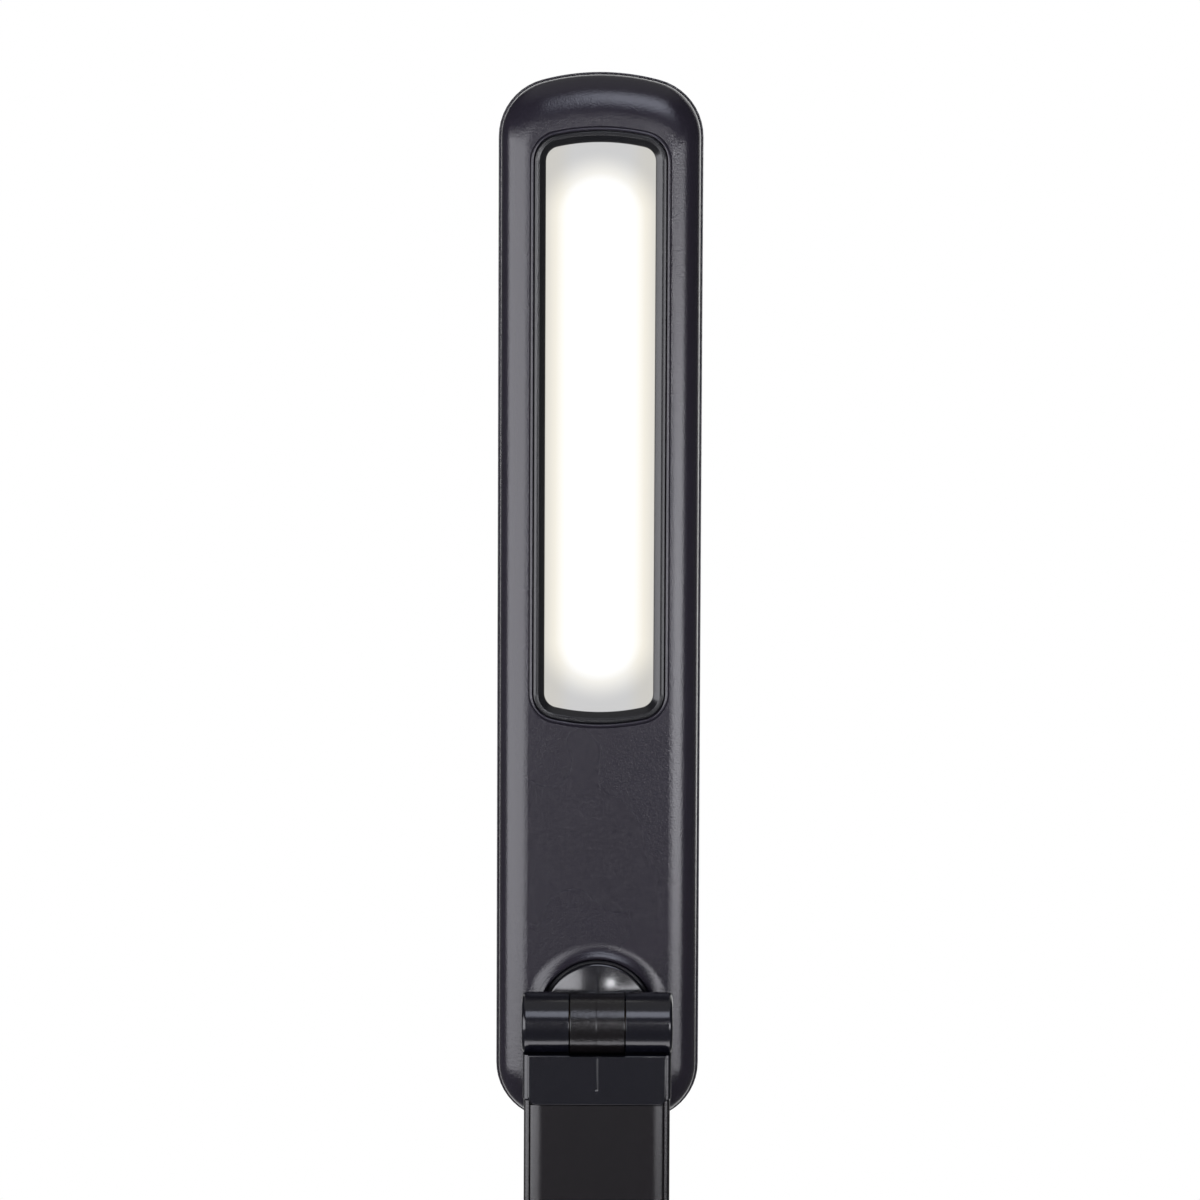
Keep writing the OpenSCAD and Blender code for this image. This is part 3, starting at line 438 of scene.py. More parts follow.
def quarterTurn(wide, deep, steps):
    # (in, down) pairs along a quarter ellipse, from the side wall up to the flat
    return [(wide * (1 - cos(pi / 2 * i / steps)), deep * (1 - sin(pi / 2 * i / steps)))
            for i in range(steps + 1)]


def turned(bm, profile, axis="Z", steps=64):
    # a closed or axis-to-axis profile of (radius, along) points, spun once round
    points = [(r, 0, a) if axis == "Z" else (a, r, 0) for r, a in profile]
    verts = [bm.verts.new(p) for p in points]
    edges = [bm.edges.new(pair) for pair in zip(verts, verts[1:])]
    bmesh.ops.spin(bm, geom=verts + edges, cent=(0, 0, 0), axis=(0, 0, 1) if axis == "Z" else (1, 0, 0),
                   angle=2 * pi, steps=steps, use_merge=True)
    bmesh.ops.remove_doubles(bm, verts=bm.verts, dist=sameSpot)


def block(bm, low, high):
    # a box between two corners
    made = bmesh.ops.create_cube(bm, size=1)["verts"]
    bmesh.ops.scale(bm, verts=made, vec=[h - l for l, h in zip(low, high)])
    bmesh.ops.translate(bm, verts=made, vec=[(h + l) / 2 for l, h in zip(low, high)])


def roundEdges(bm, edges, radius, segments):
    bmesh.ops.bevel(bm, geom=edges, offset=radius, offset_type="OFFSET", affect="EDGES",
                    segments=segments, profile=0.5, material=-1)


def edgesWhere(bm, test):
    # the edges whose two ends both pass a test of their place
    return [e for e in bm.edges if all(test(v.co) for v in e.verts)]


def rise(edge):
    # how far apart in height an edge's two ends are
    return abs(edge.verts[0].co.z - edge.verts[1].co.z)


def mirrorX(bm):
    # adds the same shape on the other side of X
    whole = bm.verts[:] + bm.edges[:] + bm.faces[:]
    copy = bmesh.ops.duplicate(bm, geom=whole)["geom"]
    bmesh.ops.scale(bm, vec=(-1, 1, 1), verts=[g for g in copy if isinstance(g, bmesh.types.BMVert)])
    bmesh.ops.reverse_faces(bm, faces=[g for g in copy if isinstance(g, bmesh.types.BMFace)])


def combine(first, second, how):
    # two solids into one, as a union or a difference
    holders = []
    for shape in (first, second):
        bmesh.ops.recalc_face_normals(shape, faces=shape.faces)
        mesh = bpy.data.meshes.new("blank")
        shape.to_mesh(mesh)
        shape.free()
        holders.append(bpy.data.objects.new("blank", mesh))
        bpy.context.scene.collection.objects.link(holders[-1])
    boolean = holders[0].modifiers.new("combine", "BOOLEAN")
    boolean.operation = how
    boolean.solver = "EXACT"
    boolean.use_self = True
    boolean.object = holders[1]
    done = holders[0].evaluated_get(bpy.context.evaluated_depsgraph_get())
    out = bmesh.new()
    out.from_mesh(done.to_mesh())
    done.to_mesh_clear()
    for holder in holders:
        mesh = holder.data
        bpy.data.objects.remove(holder)
        bpy.data.meshes.remove(mesh)
    bmesh.ops.remove_doubles(out, verts=out.verts, dist=cutSlack)
    return out


def sideSlab(outline, half):
    # a side outline of (y, z) points, pushed out to both sides of X
    bm = bmesh.new()
    face = bm.faces.new([bm.verts.new((-half, y, z)) for y, z in outline])
    made = bmesh.ops.extrude_face_region(bm, geom=[face], use_keep_orig=True)["geom"]
    moveNew(bm, made, (2 * half, 0, 0))
    bmesh.ops.recalc_face_normals(bm, faces=bm.faces)
    return bm


def longOnes(edges):
    # only those that stand upright
    return [e for e in edges if rise(e) > 1]


def uprights(bm, y):
    # the upright outer edges at one depth
    half = max(v.co.x for v in bm.verts)
    outer = edgesWhere(bm, lambda co: abs(abs(co.x) - half) < close and abs(co.y - y) < close)
    return [e for e in outer if rise(e) > 0.1]


def finishPiece(bm, name, place, body, material, stands=(), edge=0.0, wall=0.0):
    # edge is a fine break on its corners and wall a shell's thickness, both in mm
    bmesh.ops.remove_doubles(bm, verts=bm.verts, dist=sameSpot)
    bmesh.ops.recalc_face_normals(bm, faces=bm.faces)
    bmesh.ops.transform(bm, matrix=place, verts=bm.verts)
    mesh = bpy.data.meshes.new(name)
    bm.to_mesh(mesh)
    bm.free()
    mesh.shade_smooth()
    mesh.set_sharp_from_angle(angle=sharpFrom)
    mesh.materials.append(material)
    piece = bpy.data.objects.new(name, mesh)
    bpy.context.scene.collection.objects.link(piece)
    if wall:
        shell = piece.modifiers.new("wall", "SOLIDIFY")
        shell.thickness = wall * 0.001
        shell.offset = -1
    if edge:
        bevel = piece.modifiers.new("edge", "BEVEL")
        bevel.width = edge * 0.001
        bevel.segments = 2
        bevel.limit_method = "ANGLE"
        bevel.angle_limit = sharpFrom
    piece.modifiers.new("normals", "WEIGHTED_NORMAL").keep_sharp = True
    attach(piece, body)
    if stands:
        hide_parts(*stands)
    return piece


# head

headShape = {"half": 25.0, "low": -28.4, "high": 231.6, "endRadius": 55.0, "cornerRadius": 14.3}
windowShape = {"half": 13.35, "low": 75.3, "high": 214.5, "endRadius": 49.0, "cornerRadius": 3.5}

headFront = {
    "rim": 0.6,            # the rear shell shows this much outside it
    "depth": 7.0,
    "roundWide": 7.1,
    "roundDeep": 6.2,
    "flareOuter": 18.6,    # soft flare up to the lip round the swivel disc
    "flareHalf": 17.2,     # and where the head's rounded sides cut it off
    "lip": 14.85,
    "lipHeight": 1.0,
    "flareCuts": 12,
    "flareSqueezed": 8,    # rings that the sides cut off, each a little narrower than the last
    "flareTaper": 0.15,
    "topEase": 3.5,        # the rounding reaches this much further in at the head's far end
    "bore": 14.5,
    "boreDepth": 2.2,
    "edge": 0.3,
    # out from the window's outline, and over the face: a step down, a low bead, the trim's groove
    "bead": [(3.92, 0.0), (3.87, -0.06), (3.82, -0.3), (3.75, -0.36), (3.62, -0.24), (3.42, -0.13),
             (3.25, -0.1), (3.08, -0.14), (2.94, -0.26), (2.87, -0.45), (2.85, -0.6), (2.85, -2.0)],
    # out from the bore, and over the lip's height: the lip's round crest
    "crest": [(0.24, 0.1), (0.12, 0.07), (0.03, -0.04), (0, -0.2)],
}


def makeHeadFront(d):
    bm = bmesh.new()
    profile = [(-d["rim"] - d["edge"], -d["depth"]), (-d["rim"], -d["depth"] + d["edge"])]
    profile += [(-d["rim"] - x, -down) for x, down in quarterTurn(d["roundWide"], d["roundDeep"], 14)]
    loops = []
    for grow, z in profile:
        ease = d["topEase"] * max(0, -grow - d["rim"]) / d["roundWide"]
        loops.append(archedLoop(bm, dict(headShape, high=headShape["high"] - ease), grow, z))
    bridge(bm, loops)
    window = [archedLoop(bm, windowShape, grow, z) for grow, z in d["bead"]]
    bridge(bm, window)
    # round the disc: a soft slope up to the lip, then the bore
    cuts = d["flareCuts"]
    slope = [(d["flareOuter"] + (d["lip"] - d["flareOuter"]) * i / cuts,
              d["lipHeight"] * (i / cuts) ** 2) for i in range(cuts + 1)]
    slope += [(d["bore"] + out, d["lipHeight"] + up) for out, up in d["crest"]]
    slope.append((d["bore"], -d["boreDepth"]))
    boss = [ringLoop(bm, radius, (0, 0, z), 96) for radius, z in slope]
    for i, loop in enumerate(boss[:d["flareSqueezed"]]):
        squeeze(loop, d["flareHalf"] - d["flareTaper"] * i)
    bridge(bm, boss)
    fillFlat(bm, [loops[-1], window[0], boss[0]])
    finishPiece(bm, "headFrontShell", onHead, "head", sparkErodedAbs,
                ["head_front_shell"], wall=1.2)


headRear = {
    "depth": 7.0, "frontDepth": headFront["depth"], "roundWide": 10.0, "roundDeep": 4.6, "rim": 2.0,
    "lean": 0.03,
    # out from the side wall, and over the rim: its broken corner
    "corner": [(-0.18, 0), (-0.05, -0.05), (0, -0.18)],
}


def makeHeadRear(d):
    bm = bmesh.new()
    top = -d["frontDepth"]
    profile = [(-d["rim"], top - d["lean"])] + [(grow, top + up) for grow, up in d["corner"]]
    profile += [(-x, top - d["depth"] + up) for x, up in quarterTurn(d["roundWide"], d["roundDeep"], 14)]
    loops = [archedLoop(bm, headShape, grow, z) for grow, z in profile]
    bridge(bm, loops)
    bmesh.ops.contextual_create(bm, geom=loops[-1])
    finishPiece(bm, "headRearShell", onHead, "head", sparkErodedAbs,
                ["head_rear_shell"], wall=1.8)


# widths are out from the window's outline, heights over the head's face
windowTrim = {
    "outer": 2.7, "top": -0.1, "edge": 0.32, "chamferTop": 1.5, "lip": -1.6, "back": -3.3,
    "flange": 3.7, "flangeTop": -2.1, "rabbet": 1.3, "lean": 0.02,
    # from the chamfer's top edge: a faint rise beside it
    "hollow": [(0.5, -0.1), (0.12, -0.06), (0, -0.1)],
    # from the lip: the chamfer's round foot
    "foot": [(0.25, 0.35), (0.05, 0.12), (0, 0)],
}


def makeWindowTrim(d):
    bm = bmesh.new()
    lean = d["lean"]
    profile = [(d["flange"], d["back"]), (d["flange"], d["flangeTop"] - lean), (d["outer"], d["flangeTop"])]
    profile += [(d["outer"] - x, d["top"] - down) for x, down in quarterTurn(d["edge"], d["edge"], 5)]
    profile += [(d["chamferTop"] + x, d["top"] + up) for x, up in d["hollow"]]
    profile += [(x, d["lip"] + up) for x, up in d["foot"]]
    profile += [(d["rabbet"], d["lip"] - lean), (d["rabbet"], d["back"] + lean)]
    loops = [archedLoop(bm, windowShape, grow, z) for grow, z in profile]
    bridge(bm, loops + [loops[0]])
    finishPiece(bm, "windowTrim", onHead, "head", trimAbs, ["window_frame"])


makeHeadFront(headFront)
makeHeadRear(headRear)
makeWindowTrim(windowTrim)
print("head modelled")


# swivel

swivel = {
    "radius": 14.0,
    "top": 1.1,
    "crownRadius": 3.5,    # a nearly flat crown
    "crown": 0.1,
    "domeRadius": 12.4,    # and the dome falling away round it
    "dome": 1.46,
    "domeLinear": 0.4,     # share of that fall that goes straight
    # out from the dome's edge, and over it: the round shoulder down to the sunk ring
    "shoulder": [(0.25, -0.06), (0.45, -0.16), (0.58, -0.3), (0.66, -0.48), (0.7, -0.7)],
    # out from the disc's side, and over the dome's edge: the fine rim
    "rim": [(-0.5, -0.72), (-0.42, -0.1), (-0.36, 0.16), (-0.28, 0.28), (-0.18, 0.3), (-0.08, 0.22),
            (-0.02, 0.08), (0, -0.1)],
    "back": -2.2,
    "hub": 6.0,
    "hubEnd": -7.2,
    # where the two mould halves met, over the disc's face
    "flash": ((0.12, -11.4), (0.42, 11.4)),
    "flashHeight": 0.02,
    "neckHalf": 6.7,
    "neckHigh": 12.92,
    "neckStart": 1.0,
    "neckShort": 0.5,      # it ends this far off the head's face
    "barrel": 7.6,
    "pin": 2.55,
    # in from the barrel's surface and from its end
    "endBreak": [(0.25, 0), (0.07, 0.07), (0, 0.25)],
    # out from the barrel, and along it: the flash line round its middle
    "seam": [(-0.1, -0.35), (0, -0.35), (0.06, -0.25), (0.06, -0.15), (0, -0.05), (-0.1, -0.05),
             (-0.1, -0.35)],
}


def makeSwivelDisc(d):
    bm = bmesh.new()
    top, straight = d["top"], d["domeLinear"]
    profile = [(d["crownRadius"] * i / 4, top - d["crown"] * (i / 4) ** 2) for i in range(4)]
    for i in range(7):
        fall = straight * i / 6 + (1 - straight) * (i / 6) ** 2
        profile.append((d["crownRadius"] + (d["domeRadius"] - d["crownRadius"]) * i / 6,
                        top - d["crown"] - (d["dome"] - d["crown"]) * fall))
    low = top - d["dome"]
    profile += [(d["domeRadius"] + x, low + up) for x, up in d["shoulder"]]
    profile += [(d["radius"] + x, low + up) for x, up in d["rim"]]
    profile += [(d["radius"], d["back"]), (d["hub"], d["back"]), (d["hub"], d["hubEnd"]), (0, d["hubEnd"])]
    turned(bm, profile, steps=96)
    line = bmesh.new()
    block(line, (*d["flash"][0], 0), (*d["flash"][1], top + d["flashHeight"]))
    bm = combine(bm, line, "UNION")
    finishPiece(bm, "swivelDisc", onHead, "knuckle", lacqueredAbs, ["swivel_knuckle"])


def centreBarrel(bm, d):
    # a ring round the pin, with both ends softly broken
    pin, half = d["pin"], d["neckHalf"]
    corner = [(d["barrel"] - x, half - along) for x, along in d["endBreak"]]
    turned(bm, [(pin, -half)] + [(r, -along) for r, along in corner] + corner[::-1]
           + [(pin, half), (pin, -half)], axis="X", steps=72)


def makeCentreKnuckle(d):
    bm = bmesh.new()
    half = d["neckHalf"]
    centreBarrel(bm, d)
    # the neck back to the disc
    block(bm, (-half, d["neckStart"], -d["neckHigh"] / 2),
          (half, lamp["faceOff"] - d["neckShort"], d["neckHigh"] / 2))
    turned(bm, [(d["barrel"] + x, along) for x, along in d["seam"]], axis="X", steps=72)
    finishPiece(bm, "centreKnuckle", onUpper, "knuckle", grainedAbs, ["swivel_knuckle"])


makeSwivelDisc(swivel)
makeCentreKnuckle(swivel)
print("swivel modelled")


# hinges and arm

hinge = {"barrel": 7.6, "half": 18.4, "slotHalf": 6.9, "slotLow": 7.21, "slotRound": 8.0, "pin": 2.5,
         "cover": 4.1, "seat": 2.0, "washer": 5.3, "washerSeat": 7.7, "endRound": 1.0,
         "shoulder": 6.9, "groove": 3.0, "blockTop": 8.4, "coverBreak": 0.1,
         # in from the barrel's surface and along from the slot: the inner ends' broken edges
         "slotBreak": [(0.2, 0), (0.05, 0.06), (0, 0.2)],
         # how far the cutters reach past the block, and how much of the barrel they leave
         "cutFar": 20, "cutTop": 12, "cutSide": 3, "skin": 1}
cap = {"half": 18.05, "length": 18.0, "front": -6.4, "back": 6.75, "frontRound": 1.2, "backRound": 2.6,
       "endBreak": 0.35, "plateHalf": 16.85, "plateFront": -6.9, "plateThick": 2, "plateEnd": 19.1,
       "plateCorner": 2.0, "plateRound": 0.36, "flap": 0.45, "tongueHalf": 15.05, "tongueFront": -4.8,
       "tongueBack": 4.6, "tongueEnd": 52.0, "neckY": 6.08,
       # on the plate, below the axis: a flash line down to the gate mark, and a line under the slot
       "gateZ": -15.6, "flashX": (-0.08, 0.28), "flashTop": 0.4, "witnessHalf": 9.3,
       "witness": (0.36, 0.06), "lineHeight": 0.09, "lineRound": 0.085, "lineDeep": 0.3,
       "gate": 0.42, "gateShape": (1, 0.35, 1.4)}
arm = {"half": 17.8, "front": -6.4, "back": 6.5, "frontRound": 1.2, "backRound": 2.4, "lipFlat": 0.17,
       "sunk": 1.5, "edge": 0.1, "coverHalf": 16.3, "coverFace": -6.9, "coverBack": -4.9,
       "coverRoundWide": 3.2, "coverRoundDeep": 0.8, "coverGap": 0.1}
onArm = inMetres @ Matrix.Translation((0, lamp["hingeY"], 0))


def outerKnuckles(d):
    # bored for the pin, with a seat for the washer inside and for the pin's cover outside
    bm = bmesh.new()
    r, half, cover, rim = d["barrel"], d["half"], d["cover"], d["coverBreak"]
    profile = [(d["pin"], d["washerSeat"]), (d["washer"], d["washerSeat"]), (d["washer"], d["slotHalf"])]
    profile += [(r - x, d["slotHalf"] + along) for x, along in d["slotBreak"]]
    profile += [(r - x, half - down) for x, down in quarterTurn(d["endRound"], d["endRound"], 6)]
    profile += [(cover + rim, half), (cover, half - rim), (cover, half - d["seat"]),
                (d["pin"], half - d["seat"]), (d["pin"], d["washerSeat"])]
    turned(bm, profile, axis="X", steps=72)
    mirrorX(bm)
    return bm


def rod(bm, radius, half):
    turned(bm, [(0, -half), (radius, -half), (radius, half), (0, half)], axis="X", steps=72)


def barrelAndSlot(h):
    # what is cut from a block: room for the centre knuckle, its neck, and the barrel's own bores
    bm = bmesh.new()
    block(bm, (-h["slotHalf"], -h["cutFar"], -h["slotLow"]), (h["slotHalf"], h["cutFar"], h["cutTop"]))
    rod(bm, h["slotRound"], h["slotHalf"])
    rod(bm, h["barrel"] - h["skin"], h["half"] + h["cutSide"])
    return bm


def frontPlate(d, top):
    # proud front plate with round lower corners and soft edges; below the block only a thin flap
    bm = bmesh.new()
    half, face, low = d["plateHalf"], d["plateFront"], -d["plateEnd"]
    block(bm, (-half, face, low), (half, face + d["plateThick"], top))
    foot = edgesWhere(bm, lambda co: abs(co.z - low) < close)
    roundEdges(bm, [e for e in foot if abs(e.verts[0].co.y - e.verts[1].co.y) > 1], d["plateCorner"], 8)
    roundEdges(bm, edgesWhere(bm, lambda co: abs(co.y - face) < close), d["plateRound"], 4)
    under = bmesh.new()
    block(under, (-half - 1, face + d["flap"], low - 1), (half + 1, face + 5, -d["length"]))
    return combine(bm, under, "DIFFERENCE")


def addPlateMarks(bm, h, d):
    # what the mould leaves on the plate
    face, slot, side = d["plateFront"], -h["slotLow"], d["witnessHalf"]
    for left, low, right, high in (
            (d["flashX"][0], d["gateZ"], d["flashX"][1], slot - d["flashTop"]),
            (-side, slot - d["witness"][0], side, slot - d["witness"][1])):
        line = bmesh.new()
        block(line, (left, face - d["lineHeight"], low), (right, face + d["lineDeep"], high))
        roundEdges(line, edgesWhere(line, lambda co: co.y < face), d["lineRound"], 2)
        bm = combine(bm, line, "UNION")
    gate = bmesh.new()
    ball = bmesh.ops.create_icosphere(gate, subdivisions=3, radius=d["gate"])["verts"]
    bmesh.ops.scale(gate, verts=ball, vec=d["gateShape"])
    bmesh.ops.translate(gate, verts=ball, vec=(0, face, d["gateZ"]))
    return combine(bm, gate, "UNION")


def makeUpperCap(h, d):
    front, back, low = d["front"], d["back"], -d["length"]
    bm = sideSlab([(front, low), (back, low), (back, 0), (-h["groove"], 0),
                   (-h["groove"], -h["shoulder"]), (front, -h["shoulder"])], d["half"])
    roundEdges(bm, uprights(bm, front), d["frontRound"], 6)
    roundEdges(bm, uprights(bm, back), d["backRound"], 8)
    # the block's lower corners are cut off at a slant where they meet the arm
    roundEdges(bm, edgesWhere(bm, lambda co: co.z < low + close), d["endBreak"], 1)
    bm = combine(bm, frontPlate(d, -h["shoulder"]), "UNION")
    bm = combine(bm, barrelAndSlot(h), "DIFFERENCE")
    bm = combine(bm, outerKnuckles(h), "UNION")
    bm = addPlateMarks(bm, h, d)
    tongue = bmesh.new()
    block(tongue, (-d["tongueHalf"], d["tongueFront"], -d["tongueEnd"]),
          (d["tongueHalf"], d["tongueBack"], low + 0.5))
    bm = combine(bm, tongue, "UNION")
    finishPiece(bm, "upperHingeCap", onUpper, "arm", satinAbs, ["upper_hinge_cap"])


def makeLowerCap(h, d, s):
    # built hanging down like the upper cap, then turned over
    front, back, low, top = d["front"], d["back"], -d["length"], -h["blockTop"]
    bm = sideSlab([(front, low), (back, low), (back, top), (front, top)], d["half"])
    roundEdges(bm, uprights(bm, front), d["frontRound"], 6)
    roundEdges(bm, uprights(bm, back), d["backRound"], 8)
    ends = [e for e in bm.edges if all(v.co.z > top - close for v in e.verts)
            or all(v.co.z < low + close for v in e.verts)]
    roundEdges(bm, ends, d["endBreak"], 2)
    bm = combine(bm, frontPlate(d, top), "UNION")
    neck = bmesh.new()
    block(neck, (-s["neckHalf"], -d["neckY"], top - 2), (s["neckHalf"], d["neckY"], 0))
    block(neck, (-d["tongueHalf"], d["tongueFront"], -d["tongueEnd"]),
          (d["tongueHalf"], d["tongueBack"], low + 6))
    bm = combine(bm, neck, "UNION")
    bore = bmesh.new()
    rod(bore, h["barrel"] - h["skin"], h["cutFar"])
    bm = combine(bm, bore, "DIFFERENCE")
    knuckle = bmesh.new()
    centreBarrel(knuckle, s)
    bm = combine(bm, knuckle, "UNION")
    bmesh.ops.scale(bm, vec=(1, 1, -1), verts=bm.verts)
    finishPiece(bm, "lowerHingeCap", onLower, "arm", satinAbs, ["lower_hinge_cap"])


def broadFront(bm):
    return [f for f in bm.faces if f.normal.y < -0.99 and f.calc_area() > 1000]


def makeArmChannel(d, c):
    bm = bmesh.new()
    low = lamp["lowerZ"] + c["length"]
    high = lamp["upperZ"] - c["length"]
    block(bm, (-d["half"], d["front"], low), (d["half"], d["back"], high))
    roundEdges(bm, longOnes(edgesWhere(bm, lambda co: co.y < 0)), d["frontRound"], 6)
    rear = edgesWhere(bm, lambda co: co.y > d["back"] - close and abs(co.x) > d["half"] - close)
    roundEdges(bm, longOnes(rear), d["backRound"], 8)
    # the front is sunk between two lips to take the cover
    bmesh.ops.inset_region(bm, faces=broadFront(bm), thickness=d["lipFlat"], use_even_offset=True)
    floor = broadFront(bm)
    sunk = bmesh.ops.extrude_face_region(bm, geom=floor)["geom"]
    moveNew(bm, sunk, (0, d["sunk"], 0))
    bmesh.ops.delete(bm, geom=[f for f in floor if f.is_valid], context="FACES_ONLY")
    finishPiece(bm, "armChannel", onArm, "arm", armAbs, ["arm_channel"], edge=d["edge"])


def makeArmCover(d, c):
    bm = bmesh.new()
    low = lamp["lowerZ"] + c["plateEnd"] + d["coverGap"]
    high = lamp["upperZ"] - c["plateEnd"] - d["coverGap"]
    stretch = d["coverRoundWide"] / d["coverRoundDeep"]
    deep = (d["coverBack"] - d["coverFace"]) * stretch
    block(bm, (-d["coverHalf"], 0, low), (d["coverHalf"], deep, high))
    roundEdges(bm, longOnes(edgesWhere(bm, lambda co: co.y < close)), d["coverRoundWide"], 10)
    # the edges were rounded in a stretched space, so that they come out wide and shallow
    bmesh.ops.scale(bm, verts=bm.verts, vec=(1, 1 / stretch, 1))
    bmesh.ops.translate(bm, verts=bm.verts, vec=(0, d["coverFace"], 0))
    finishPiece(bm, "armFrontCover", onArm, "arm", armAbs, ["arm_front_cover"])


pedestal = {"half": 18.05, "top": 6.5, "foot": 11.0, "rise": 24.7, "sunk": 2.0, "straight": 0.35,
            "cuts": 12, "round": 1.2}


def makePedestal(h, d):
    cuts, straight = d["cuts"], d["straight"]
    flare = [(d["top"] + (d["foot"] - d["top"]) * (1 - cos(pi / 2 * i / cuts)),
              -d["rise"] * (straight + (1 - straight) * i / cuts)) for i in range(cuts + 1)]
    flare.append((d["foot"], -d["rise"] - d["sunk"]))
    front = [(-h["groove"], 0), (-h["groove"], -h["shoulder"]), (-d["top"], -h["shoulder"])]
    bm = sideSlab(front + [(-y, z) for y, z in flare] + flare[::-1] + [(d["top"], 0)], d["half"])
    sides = edgesWhere(bm, lambda co: abs(abs(co.x) - d["half"]) < close
                       and co.z < close - h["shoulder"] and abs(co.y) > d["top"] - close)
    roundEdges(bm, [e for e in sides if rise(e) > 0.1], d["round"], 5)
    bm = combine(bm, barrelAndSlot(h), "DIFFERENCE")
    bm = combine(bm, outerKnuckles(h), "UNION")
    finishPiece(bm, "hingePedestal", onLower, "base", satinAbs, ["hinge_pedestal"])


makeUpperCap(hinge, cap)
makeLowerCap(hinge, cap, swivel)
makeArmChannel(arm, cap)
makeArmCover(arm, cap)
makePedestal(hinge, pedestal)
print("hinges and arm modelled")


# base

baseShape = {"half": 60.0, "low": -100.0, "high": 100.0, "endRadius": 160.0, "cornerRadius": 24.0}
base = {"top": 20.0, "bottom": 3.0, "roundWide": 10.0, "roundDeep": 8.0, "rim": 2.0, "edge": 0.4,
        "lean": 0.03, "buttonY": -70.0, "pitch": 22.0, "panelDeep": 0.8, "panelRadius": 10.0,
        "powerRadius": 7.0, "dimRadius": 5.5, "gap": 0.25, "postGap": 0.1, "postDeep": 2.0,
        # out from each opening, and over its upper face, down to its floor
        "panelEdge": [(0.25, 0), (0.07, -0.07), (0, -0.25), (0, -0.6), (-0.2, -0.8)],
        "holeEdge": [(0.2, 0), (0.05, -0.06), (0, -0.2), (0, -1.6)]}


def makeBaseShell(d):
    bm = bmesh.new()
    top = d["top"]
    profile = [(-d["rim"], d["bottom"] + d["lean"]), (-d["edge"], d["bottom"]), (0, d["bottom"] + d["edge"])]
    profile += [(-x, top - down) for x, down in quarterTurn(d["roundWide"], d["roundDeep"], 16)]
    loops = [archedLoop(bm, baseShape, grow, z) for grow, z in profile]
    bridge(bm, loops)
    panel = [slotLoop(bm, d["pitch"], d["panelRadius"] + grow, d["buttonY"], top + z)
             for grow, z in d["panelEdge"]]
    bridge(bm, panel)
    # the pedestal comes up through the shell
    reach = pedestal["foot"] + d["postGap"]
    post = boxLoop(bm, pedestal["half"] + d["postGap"], lamp["hingeY"] - reach, lamp["hingeY"] + reach, top)
    fillFlat(bm, [loops[-1], panel[0], post])
    dropLoop(bm, post, d["postDeep"])
    holes = []
    for x, radius in ((-d["pitch"], d["dimRadius"]), (0, d["powerRadius"]), (d["pitch"], d["dimRadius"])):
        hole = [ringLoop(bm, radius + d["gap"] + grow, (x, d["buttonY"], top - d["panelDeep"] + z), 48)
                for grow, z in d["holeEdge"]]
        bridge(bm, hole)
        holes.append(hole[0])
    fillFlat(bm, [panel[-1]] + holes)
    finishPiece(bm, "baseTopShell", onBase, "base", sparkErodedAbs, ["base_top_shell"],
                wall=1.6)


button = {"proud": 0.6, "dishShare": 0.75, "dishDeep": 0.25, "skirt": 1, "skirtTop": 17.3, "skirtLow": 16.3,
          "stem": 1.8, "stemLow": 14.25,
          # in from the side, and over the top: the round edge
          "edge": [(0.5, 0), (0.2, -0.06), (0.05, -0.2), (0, -0.4)]}


def makeButton(d, name, node, body, x, radius):
    # a shallow dish on a round cap, with a skirt that keeps it in and a stem down to its switch
    bm = bmesh.new()
    top = base["top"] - base["panelDeep"] + d["proud"]
    wide = radius + d["skirt"]
    profile = [(radius * d["dishShare"] * i / 6, top - d["dishDeep"] * (1 - (i / 6) ** 2)) for i in range(7)]
    profile += [(radius - inward, top + up) for inward, up in d["edge"]]
    profile += [(radius, d["skirtTop"]), (wide, d["skirtTop"]), (wide, d["skirtLow"]),
                (d["stem"], d["skirtLow"]), (d["stem"], d["stemLow"]), (0, d["stemLow"])]
    turned(bm, profile, steps=64)
    bmesh.ops.translate(bm, verts=bm.verts, vec=(x, base["buttonY"], 0))
    finishPiece(bm, name, onBase, body, satinAbs, [node])


makeBaseShell(base)
makeButton(button, "powerButton", "power_button", "power", 0, base["powerRadius"])
makeButton(button, "dimmerDownButton", "dimmer_down_button", "dimmer_down", -base["pitch"], base["dimRadius"])
makeButton(button, "dimmerUpButton", "dimmer_up_button", "dimmer_up", base["pitch"], base["dimRadius"])
print("base modelled")


# floor and light

